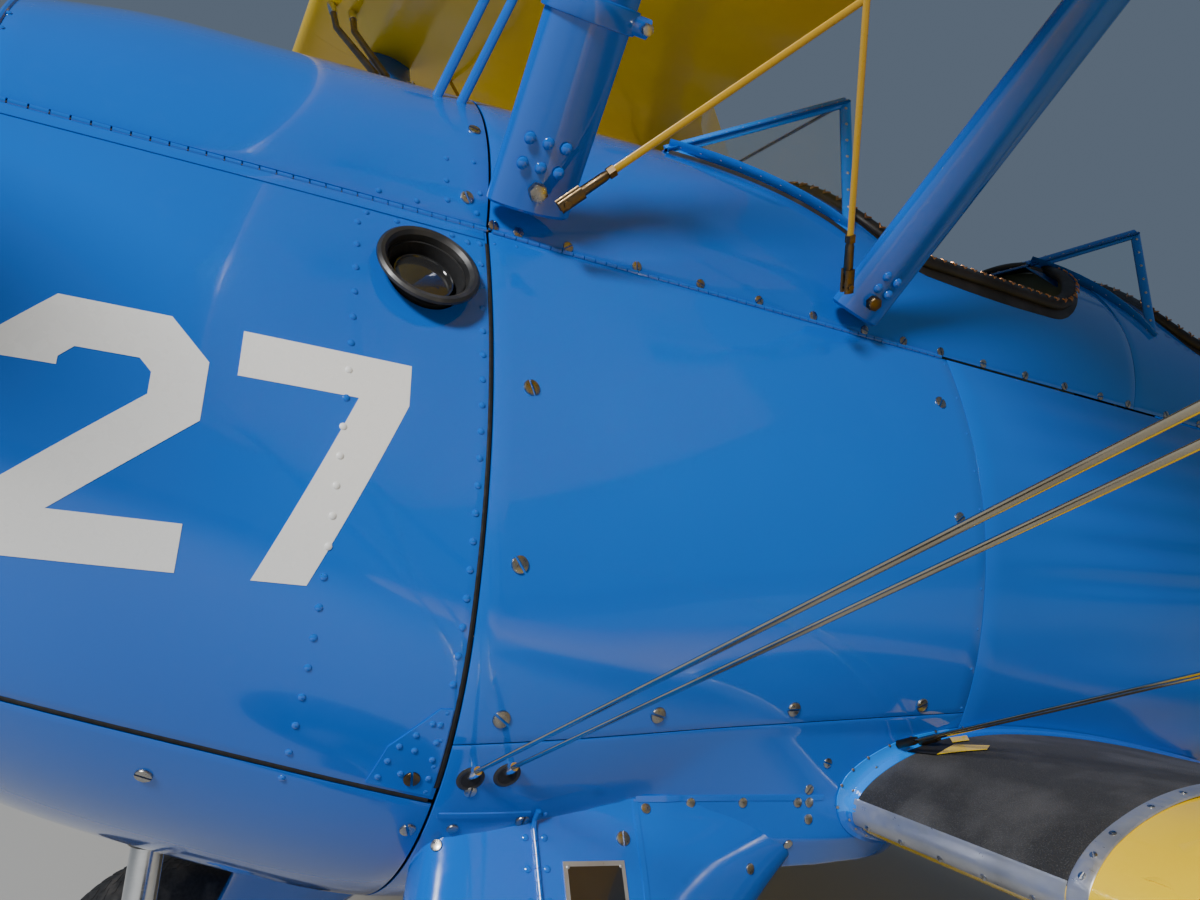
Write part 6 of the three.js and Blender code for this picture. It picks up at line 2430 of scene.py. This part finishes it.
@dataclass
class Cockpits(Section):
    """Both cockpits: floor, seats, sticks, panels and windshields."""

    seats: tuple[tuple[str, float], ...] = (("front", 1960.0), ("rear", 2790.0))
    boards: tuple[tuple[str, float], ...] = (("front", 1660.0), ("rear", 2480.0))
    shields: tuple[tuple[str, Array, Array, Array], ...] = (
        ("front", (135, 1410, 562), (190, 1724, 732), (262, 1702, 460)),
        ("rear", (112, 2310, 592), (188, 2532, 701), (262, 2505, 456)))

    def build(self) -> None:
        """Builds the cockpits."""
        floor = self.copy_node("cockpit_floor_boards", "cockpit_floor")
        self.dress(floor, Finish.GREEN, slot="cockpit_green", replaces=["cockpit_floor"])
        for word, y in self.seats:
            self.seat(word, y)
        for word, y in self.boards:
            self.board(word, y)
        for word, base, top, foot in self.shields:
            self.windshield(word, *(np.array(p, float) for p in (base, top, foot)))

    def seat(self, word: str, y: float) -> None:
        """A metal bucket seat with a leather cushion and a stick in front of it.

        Args:
            word: front or rear.
            y: Station of the seat's front edge.
        """
        pan = self.copy_node(f"seat_{word}_pan", f"seat_{word}")
        self.dress(pan, Finish.GREEN, slot="cockpit_green", replaces=[f"seat_{word}"])
        base = -102
        u, v = np.meshgrid(np.linspace(-1, 1, 25), np.linspace(-1, 1, 25))
        puff = 42 * (1 - np.abs(u) ** 4) ** 0.5 * (1 - np.abs(v) ** 4) ** 0.5
        puff = puff - 5 * (np.abs(u) < 0.04) - 5 * (np.abs(v) < 0.04)
        square = 1 - 0.06 * np.maximum(np.abs(u), np.abs(v)) ** 6
        top = np.stack([u * 158 * square, y + 200 + v * 165 * square, base + 14 + puff], -1)
        cushion = self.shell(f"seat_{word}_cushion", top, (0, 0, 1), 12.0, 0)
        self.dress(cushion, Finish.BROWN_LEATHER, smooth=60.0)
        path = np.array([(0, y - 20, -292), (0, y - 22, -60), (0, y - 8, 40), (0, y + 12, 130),
                         (0, y + 8, 150)], float)
        stick = self.tube("stick", path, [12, 12, 11, 11, 11.0], 16)
        grip = self.turned("grip", (0, y - 4, 60), (0, 0.2, 1),
                           [(9, 0), (17, 4), (16, 20), (18, 40), (16, 62), (19, 84), (14, 100),
                            (2, 104)], 24)
        self.dress(stick, Finish.STEEL, slot="steel").name = f"stick_{word}"
        self.dress(grip, Finish.RUBBER).name = f"stick_grip_{word}"

    def board(self, word: str, y: float) -> None:
        """An instrument panel with its dials.

        Args:
            word: front or rear.
            y: Station of its face.
        """
        board = self.copy_node(f"board_{word}", f"instrument_panel_{word}")
        self.dress(board, Finish.PANEL_BLACK, slot="panel_black",
                   replaces=[f"instrument_panel_{word}"])
        dials = [(-205, 330, 34), (-120, 345, 40), (-25, 352, 40), (75, 348, 40), (165, 335, 36),
                 (-165, 250, 34), (-70, 258, 40), (30, 262, 40), (125, 250, 34)]
        rims, faces, needles = [], [], []
        face = y + 5.5
        for x, z, r in dials:
            rims.append(self.turned("rim", (x, face, z), (0, 1, 0),
                                    [(r, 0), (r, 6), (r - 3, 8), (r - 6, 8), (r - 7, 2),
                                     (r - 7, 0)], 32, closed=False))
            faces.append(self.turned("face", (x, face, z), (0, 1, 0),
                                     [(r - 5, 0), (r - 6, 2.5), (1, 2.5)], 32))
            a = 0.9 + x * 0.031 + z * 0.017
            way = np.array([math.cos(a), 0, math.sin(a)])
            needles.append(self.tube("needle", [(x, face + 4, z) - way * 7, (x, face + 4, z)
                                                + way * (r - 13)], [1.8, 0.7], 6))
            for k in range(10):
                b = math.radians(225 - 30 * k)
                w = np.array([math.cos(b), 0, math.sin(b)])
                needles.append(self.tube("tick", [(x, face + 3, z) + w * (r - 13),
                                                  (x, face + 3, z) + w * (r - 9)], 0.9, 4))
        self.dress(self.joined(f"dial_rims_{word}", rims), Finish.GLOSS_BLACK)
        self.dress(self.joined(f"dial_faces_{word}", faces), Finish.DARK)
        self.dress(self.joined(f"dial_marks_{word}", needles), Finish.WHITE)

    def windshield(self, word: str, base: Array, top: Array, foot: Array) -> None:
        """A three-paned windshield in a blue riveted frame.

        Args:
            word: front or rear.
            base: Where the front pane meets the deck, on the left.
            top: The front pane's upper left corner.
            foot: Where the side pane's aft corner meets the deck.
        """
        over = np.array([-1.0, 1, 1])
        b, f = (np.array([p[0], p[1], self.deck(p)]) for p in (base, foot))
        sides = [[b, b * over, top * over, top], [b, top, f]]
        bars, rivets, normals = [], [], []
        for index, pane in enumerate(sides):
            pane = np.array(pane)
            n = unit(np.cross(pane[1] - pane[0], pane[-1] - pane[0]))
            n = n if (n[1] < 0 or n[0] > 0) and (index or n[1] < 0) else -n
            if index and n[0] < 0:
                n = -n
            count = len(pane)
            for k in range(count):
                p, q = pane[k], pane[(k + 1) % count]
                length = float(np.linalg.norm(q - p))
                way = (q - p) / length
                bars.append(self.tube("bar", [p - way * 4, q + way * 4], 11.0, 8, 0.34,
                                      np.cross(way, n)))
                marks = spread(16, length - 16, 34)
                rivets.append(p + np.outer(marks, way) + n * 3.4)
                normals.append(np.tile(n, (len(marks), 1)))
            middle = pane.mean(0)
            glass = middle + (pane - middle) * 0.985
            sheet = self.loft("pane", [glass - n * 1.1, glass + n * 1.1])
            if index:
                self.both(sheet, f"windshield_{word}_side_pane", Finish.GLASS)
            else:
                self.dress(sheet, Finish.GLASS).name = f"windshield_{word}_front_pane"
        frame = self.joined("frame", bars)
        twin = self.mirrored(frame, "twin")
        frame = self.joined(f"windshield_{word}_frame", [frame, twin])
        # The front windshield's frame and rail take the lighter blue as painted highlight; the
        # rear ones keep the plain blue.
        self.dress(frame, Finish.PALE_BLUE if word == "front" else Finish.BLUE, slot="blue_paint",
                   replaces=[f"windshield_{word}"])
        run = np.linspace(0, 1, 9)[:, None]
        rail = b + (f - b) * run
        rail[:, 2] = [self.deck(p) + 9 for p in rail]
        strip = self.tube("rail", rail, 14.0, 8, 0.16, [1.0, 0, 0.35])
        marks = np.stack([np.interp(np.linspace(0.06, 0.94, 9), np.linspace(0, 1, 9), rail[:, k])
                          for k in range(3)], 1)
        rivets.append(marks + np.array([2.6, 0, 1.0]))
        normals.append(np.tile(unit(np.array([1.0, 0, 0.4])), (9, 1)))
        self.both(strip, f"windshield_{word}_rail", Finish.PALE_BLUE if word == "front"
                  else Finish.BLUE, slot="blue_paint")
        seal = self.tube("seal", rail + np.array([2.5, 0, -14]), 5.0, 8)
        self.both(seal, f"windshield_{word}_seal", Finish.RUBBER)
        points, normals = np.concatenate(rivets), np.concatenate(normals)
        points = np.concatenate([points, points * over])
        normals = np.concatenate([normals, normals * over])
        heads = self.scatter(f"windshield_{word}_rivets", self.stamp("rivet"), points, normals,
                             3.0)
        self.dress(heads, Finish.ALUMINIUM, slot="steel")

    def deck(self, point: Array) -> float:
        """Height of the deck under a point.

        Args:
            point: A point in the aircraft's axes.

        Returns:
            The height of the deck's face.
        """
        crown, seam, half = (float(SKIN.at(float(point[1]))[k]) for k in (0, 1, 2))
        share = min(abs(float(point[0])) / half, 0.999)
        return seam + (crown - seam) * math.sqrt(1 - share ** 2) + 4


@dataclass
class Engine(Section):
    """The radial engine with its exhaust ring and oil tank."""

    count: int = 7
    plane: float = 335.0
    ring_y: float = 453.0
    ring_radius: float = 442.0
    ring_bore: float = 26.0

    def build(self) -> None:
        """Builds the engine."""
        self.crankcase()
        self.cylinders()
        self.exhaust()
        self.tank()

    def around(self, angle: float, radius: float, y: float, side: float = 0.0) -> Array:
        """A point at an angle round the crankshaft, moved sideways across the cylinder's line."""
        c, s = math.cos(angle), math.sin(angle)
        return np.array([s * radius + c * side, y, c * radius - s * side])

    def crankcase(self) -> None:
        """The crankcase, with studs and the mount's tubes."""
        profile = [(0.5, 62), (62, 62), (64, 90), (80, 95), (108, 128), (150, 150), (188, 188),
                   (196, 196), (230, 232), (240, 262), (240, 408), (250, 416), (262, 424),
                   (262, 466), (252, 472), (216, 498), (206, 560), (200, 640), (160, 700),
                   (150, 758), (0.5, 758)]
        case = self.turned("crankcase", (0, 0, 0), (0, 1, 0), profile, 84)
        parts = [case]
        for x, z in ((320, 70), (-320, 70), (340, -330), (-340, -330)):
            way = np.array([x, 0, z]) * 0.48
            for end, radius, sides in (([x, 1058, z], 14.0, 16),
                                       ([-x * 0.2, 700, z * 0.55], 11.0, 12)):
                parts.append(self.tube("mount", [way + [0, 480, 0], end], radius, sides))
        self.dress(self.joined("engine_case", parts), Finish.CAST, slot="engine_grey",
                   replaces=["engine"])
        nuts = [self.around(2 * math.pi * (k + 0.5) / 14, radius, y)
                for k in range(14) for radius, y in ((212, 206), (92, 108))]
        self.dress(self.scatter("case_nuts", self.stamp("hex"), nuts, (0, -1, 0), 8.0),
                   Finish.STEEL, slot="steel")

    def cylinders(self) -> None:
        """The cylinders: finned barrels, finned heads, rocker boxes, pushrods and leads."""
        barrels, heads, rods, caps, leads = [], [], [], [], []
        for k in range(self.count):
            a = 2 * math.pi * k / self.count
            out = self.around(a, 1.0, 0.0)
            centre = np.array([0, self.plane, 0]) + out * 236
            profile = [(78, -14), (78, 6), (60, 8)]
            for fin in range(16):
                h = 14 + fin * 12.6
                profile += [(60, h), (82 - 0.2 * fin, h + 1), (82 - 0.2 * fin, h + 3),
                            (60, h + 4.6)]
            profile += [(60, 216)]
            barrels.append(self.turned("barrel", centre, out, [(1, -14)] + profile + [(1, 216)],
                                       36))
            top = centre + out * 212
            profile = [(70, 0)]
            for fin in range(8):
                h = 6 + fin * 10.5
                r = 92 - 0.9 * fin - 0.25 * fin * fin
                profile += [(66 - fin, h), (r, h + 1), (r, h + 3.2), (66 - fin, h + 4.6)]
            heads.append(self.turned("head", top, out, [(1, 0)] + profile + [(50, 94), (1, 98)],
                                     36))
            for s in (-1, 1):
                box_at = self.around(a, 518, self.plane + (-8 if s < 0 else 8), 46 * s)
                way = unit(out * 1.0 + self.around(a, 0, 0, 1.0) * 0.35 * s)
                caps.append(self.turned("rocker", box_at - way * 26, way,
                                        [(1, 0), (26, 0), (32, 8), (32, 38), (27, 46), (1, 48)],
                                        24))
                low = self.around(a, 214, 226, 34 * s)
                high = self.around(a, 500, 268, 50 * s)
                rods.append(self.tube("pushrod", [low, high], 9.5, 14))
                rods.append(self.tube("gland", [low, low + unit(high - low) * 26], 15.0, 14))
                rods.append(self.tube("gland", [high, high - unit(high - low) * 22], 14.0, 14))
                plug = self.around(a, 462, self.plane + 84 * s, 0)
                leads.append(self.tube("plug", [plug - [0, 30 * s, 0], plug + [0, 14 * s, 0]],
                                       [9.0, 6.0], 8))
                tail = [plug + [0, 10 * s, 0], plug + [0, 22 * s, 0] - out * 20,
                        self.around(a, 330, self.plane + 90, 26 * s),
                        self.around(a, 262, self.plane + 100, 30 * s)]
                leads.append(self.tube("lead", self.eased(np.array(tail)), 4.4, 8))
        for name, parts, finish, slot, smooth in (
                ("cylinder_barrels", barrels, Finish.FIN_BLACK, "engine_grey", 30.0),
                ("cylinder_heads", heads, Finish.CAST, "engine_grey", 30.0),
                ("rocker_boxes", caps, Finish.CAST, "engine_grey", 35.0),
                ("pushrod_tubes", rods, Finish.POLISHED, "steel", 35.0),
                ("ignition_leads", leads, Finish.RUBBER, None, 35.0)):
            self.dress(self.joined(name, parts), finish, slot=slot, smooth=smooth)

    def eased(self, points: Array, count: int = 14) -> Array:
        """A smooth curve of count points through the given ones."""
        return smooth_rows(np.linspace(0, 1, len(points)), points, np.linspace(0, 1, count))

    def exhaust(self) -> None:
        """The collector ring behind the cylinders, its stubs and the tail pipe."""
        net = [[self.around(a, self.ring_radius + self.ring_bore * math.cos(b), self.ring_y
                            + self.ring_bore * math.sin(b))
                for b in np.linspace(0, 2 * math.pi, 18)]
               for a in np.linspace(0, 2 * math.pi, 121)]
        parts = [self.grid("collector", net, weld=True)]
        for k in range(self.count):
            a = 2 * math.pi * k / self.count
            head, foot = (self.around(a, self.ring_radius, y)
                          for y in (self.plane + 62, self.ring_y - 4))
            parts += [self.tube("stub", [head, foot], 22.0, 20),
                      self.tube("sleeve", [head, head + [0, 16, 0]], 27.0, 20)]
        for k in range(4):
            a = 2 * math.pi * (k + 0.5) / 4
            band = self.around(a, self.ring_radius, self.ring_y)
            along = self.around(a, 0, 0, 1.0)
            parts.append(self.tube("clamp", [band - along * 9, band + along * 9], 28.6, 28))
        bends = [(-300, self.ring_y, -325), (-372, 470, -412), (-400, 640, -480),
                 (-410, 862, -565)]
        parts.append(self.tube("tail_pipe", self.eased(np.array(bends), 40), 34.0, 28))
        self.dress(self.joined("exhaust_ring", parts), Finish.HOT_STEEL, slot="steel",
                   replaces=["exhaust_collector"])

    def tank(self) -> None:
        """The oil tank behind the engine, with its straps."""
        profile = [(1, -190), (60, -188), (82, -180), (90, -166), (90, 166), (82, 180), (60, 188),
                   (1, 190)]
        parts = [self.turned("tank", (0, 950, 180), (1, 0, 0), profile, 56)]
        for x in (-110, 110):
            parts.append(self.turned("strap", (x, 950, 180), (1, 0, 0),
                                     [(89, -14), (91.6, -13), (91.6, 13), (89, 14)], 56,
                                     closed=False))
        self.dress(self.joined("oil_tank_metal", parts), Finish.ALUMINIUM, slot="steel",
                   replaces=["oil_tank"])


@dataclass
class Propeller(Section):
    """The two-bladed metal propeller with its hub and bolts."""

    turn: float = 62.0
    rows: tuple[tuple[float, float, float, float], ...] = (
        # radius, chord, thickness, pitch in degrees
        (60, 66, 64, 62), (90, 70, 60, 60), (200, 112, 46, 50), (420, 190, 32, 36),
        (750, 205, 22, 24), (1080, 165, 14, 17), (1190, 118, 10, 15.4), (1225, 84, 8, 15),
        (1240, 46, 6, 15), (1245, 12, 4, 15))

    def build(self) -> None:
        """Builds the propeller, all of which turns."""
        table = np.array(self.rows, float)
        at = np.concatenate([np.linspace(60, 1190, 44), 1190
                             + 55 * np.sin(np.linspace(0.1, 1, 12) * math.pi / 2)])
        shape = np.stack([np.interp(at, table[:, 0], table[:, k]) for k in (1, 2, 3)], 1)
        t = circle(40)
        blades = []
        for half in (0, 180):
            rings = []
            for r, (chord, thick, pitch) in zip(at, shape):
                p = math.radians(pitch)
                along = np.array([math.cos(p), -math.sin(p), 0])
                over = np.array([math.sin(p), math.cos(p), 0])
                wide = np.sin(t) * (1 - 0.35 * np.cos(t))
                ring = np.array([0, 0, r]) + np.outer(np.cos(t) * chord / 2,
                                                      along) + np.outer(wide * thick / 2, over)
                rings.append(self.about(ring, half + self.turn))
            blades.append(self.loft("blade", rings))
        self.dress(self.joined("propeller_blades", blades), Finish.ALUMINIUM, "propeller",
                   "propeller_alloy", ["propeller"], 50.0)
        hub = [self.turned("hub", (0, 0, 0), (0, 1, 0),
                           [(1, -60), (45, -60), (52, -55), (88, -55), (92, -50), (92, 50),
                            (88, 55), (60, 55), (1, 55)], 56),
               self.turned("nose", (0, 0, 0), (0, 1, 0),
                           [(1, -75), (36, -75), (45, -68), (45, -50), (1, -50)], 40)]
        self.dress(self.joined("propeller_hub", hub), Finish.STEEL, "propeller", "propeller_alloy")
        bolts = [(70 * math.cos(a), -55.5, 70 * math.sin(a)) for a in np.arange(8) * math.pi / 4]
        self.dress(self.scatter("propeller_bolts", self.stamp("hex"), bolts, (0, -1, 0), 9.0),
                   Finish.STEEL, "propeller", "propeller_alloy")

    def about(self, points: Array, degrees: float) -> Array:
        """Turns points about the crankshaft's line.

        Args:
            points: Points, one per row.
            degrees: The turn.

        Returns:
            The turned points.
        """
        a = math.radians(degrees)
        c, s = math.cos(a), math.sin(a)
        return np.stack([points[:, 0] * c + points[:, 2] * s, points[:, 1], points[:, 2] * c
                         - points[:, 0] * s], 1)


@dataclass
class Tail(Section):
    """The cloth-covered tail surfaces, carried over from the solids with finer shading."""

    coverings: tuple[tuple[str, str, Finish, str], ...] = (
        ("stabilizer", "airframe", Finish.YELLOW, "yellow_paint"),
        ("elevator", "elevators", Finish.YELLOW, "yellow_paint"),
        ("tail_strut", "airframe", Finish.BLUE, "blue_paint"))

    def build(self) -> None:
        """Builds the tail surfaces."""
        for base, body, finish, slot in self.coverings:
            for side in Side:
                obj = self.copy_node(f"{base}_cloth_{side.word}", f"{base}_{side.word}")
                self.dress(obj, finish, body, slot, [f"{base}_{side.word}"], 40.0)
        for base, body, finish, slot in (("fin", "airframe", Finish.BLUE_CLOTH, "blue_paint"),
                                         ("rudder", "rudder", Finish.YELLOW, "yellow_paint")):
            obj = self.copy_node(f"{base}_cloth", base)
            self.dress(obj, finish, body, slot, [base], 40.0)


@dataclass
class Studio:
    """The floor, the light and the camera at the photograph's place."""

    place: Placement
    eye: Point = (1477.41, 714.32, -113.98)
    yaw: float = 0.44342
    pitch: float = 0.10672
    roll: float = 0.12219
    lens: float = 28.09

    def build(self) -> None:
        """Sets up the studio."""
        self.floor()
        self.lights()
        self.camera()

    def floor(self) -> None:
        """A plain pale floor."""
        bpy.ops.object.select_all(action="DESELECT")
        bpy.ops.mesh.primitive_plane_add(size=60)
        floor = bpy.context.object
        floor.name = "studio_floor"
        recipe = Recipe("studio_floor")
        recipe.set(Base_Color=(0.42, 0.42, 0.41, 1), Roughness=0.85)
        floor.data.materials.append(recipe.material)

    def lights(self) -> None:
        """Soft lights above and beside, and a pale sky."""
        for name, at, size, power in (("key", (5.5, -7.5, 7.5), 1.8, 1150.0),
                                      ("fill", (8.0, 4.5, 3.5), 6.0, 90.0),
                                      ("back", (-7.0, -3.0, 6.0), 5.0, 260.0)):
            lamp = bpy.data.lights.new(name, "AREA")
            lamp.shape, lamp.size, lamp.energy = "DISK", size, power
            obj = linked(name, lamp)
            obj.location = at
            obj.visible_glossy = name == "key"
            obj.rotation_euler = (Vector((0, -1.5, 1.2))
                                  - Vector(at)).to_track_quat("-Z", "Y").to_euler()
        world = bpy.data.worlds.new("studio")
        bpy.context.scene.world = world
        world.use_nodes = True
        back = world.node_tree.nodes["Background"]
        back.inputs[0].default_value = (0.52, 0.68, 0.92, 1)
        back.inputs[1].default_value = 0.2

    def camera(self) -> None:
        """The camera beside the cowl, looking aft and up along the fuselage."""
        forward = np.array([-math.cos(self.yaw), math.sin(self.yaw), 0])
        right = np.array([math.sin(self.yaw), math.cos(self.yaw), 0])
        up = np.array([0, 0, 1.0])
        ahead = forward * math.cos(self.pitch) + up * math.sin(self.pitch)
        over = up * math.cos(self.pitch) - forward * math.sin(self.pitch)
        side = right * math.cos(self.roll) + over * math.sin(self.roll)
        top = over * math.cos(self.roll) - right * math.sin(self.roll)
        axes = [self.place.turn(v)[0] for v in (side, top, -ahead)]
        lens = bpy.data.cameras.new("photo_camera")
        lens.lens, lens.sensor_width, lens.clip_start = self.lens, FILM_WIDTH, 0.02
        camera = linked("photo_camera", lens)
        pose = Matrix.Identity(4)
        for k, axis in enumerate(axes):
            for row in range(3):
                pose[row][k] = float(axis[row])
        for row, value in enumerate(self.place.row(np.array(self.eye))[0]):
            pose[row][3] = float(value)
        camera.matrix_world = pose
        bpy.context.scene.camera = camera


def main() -> None:
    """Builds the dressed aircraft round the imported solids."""
    logging.basicConfig(level=logging.INFO)
    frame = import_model()
    place = Placement.from_joints(frame["joints"])
    Studio(place).build()
    for kind in (Cowl, Fuselage, Cockpits, Wings, Bracing, Gear, Engine, Propeller, Tail):
        section = kind(place, frame["nodes"])
        section.build()
        for piece in section.made:
            LOG.info("%s: %s, %d faces", kind.__name__, piece.name, len(piece.data.polygons))


if __name__ == "__main__":
    main()
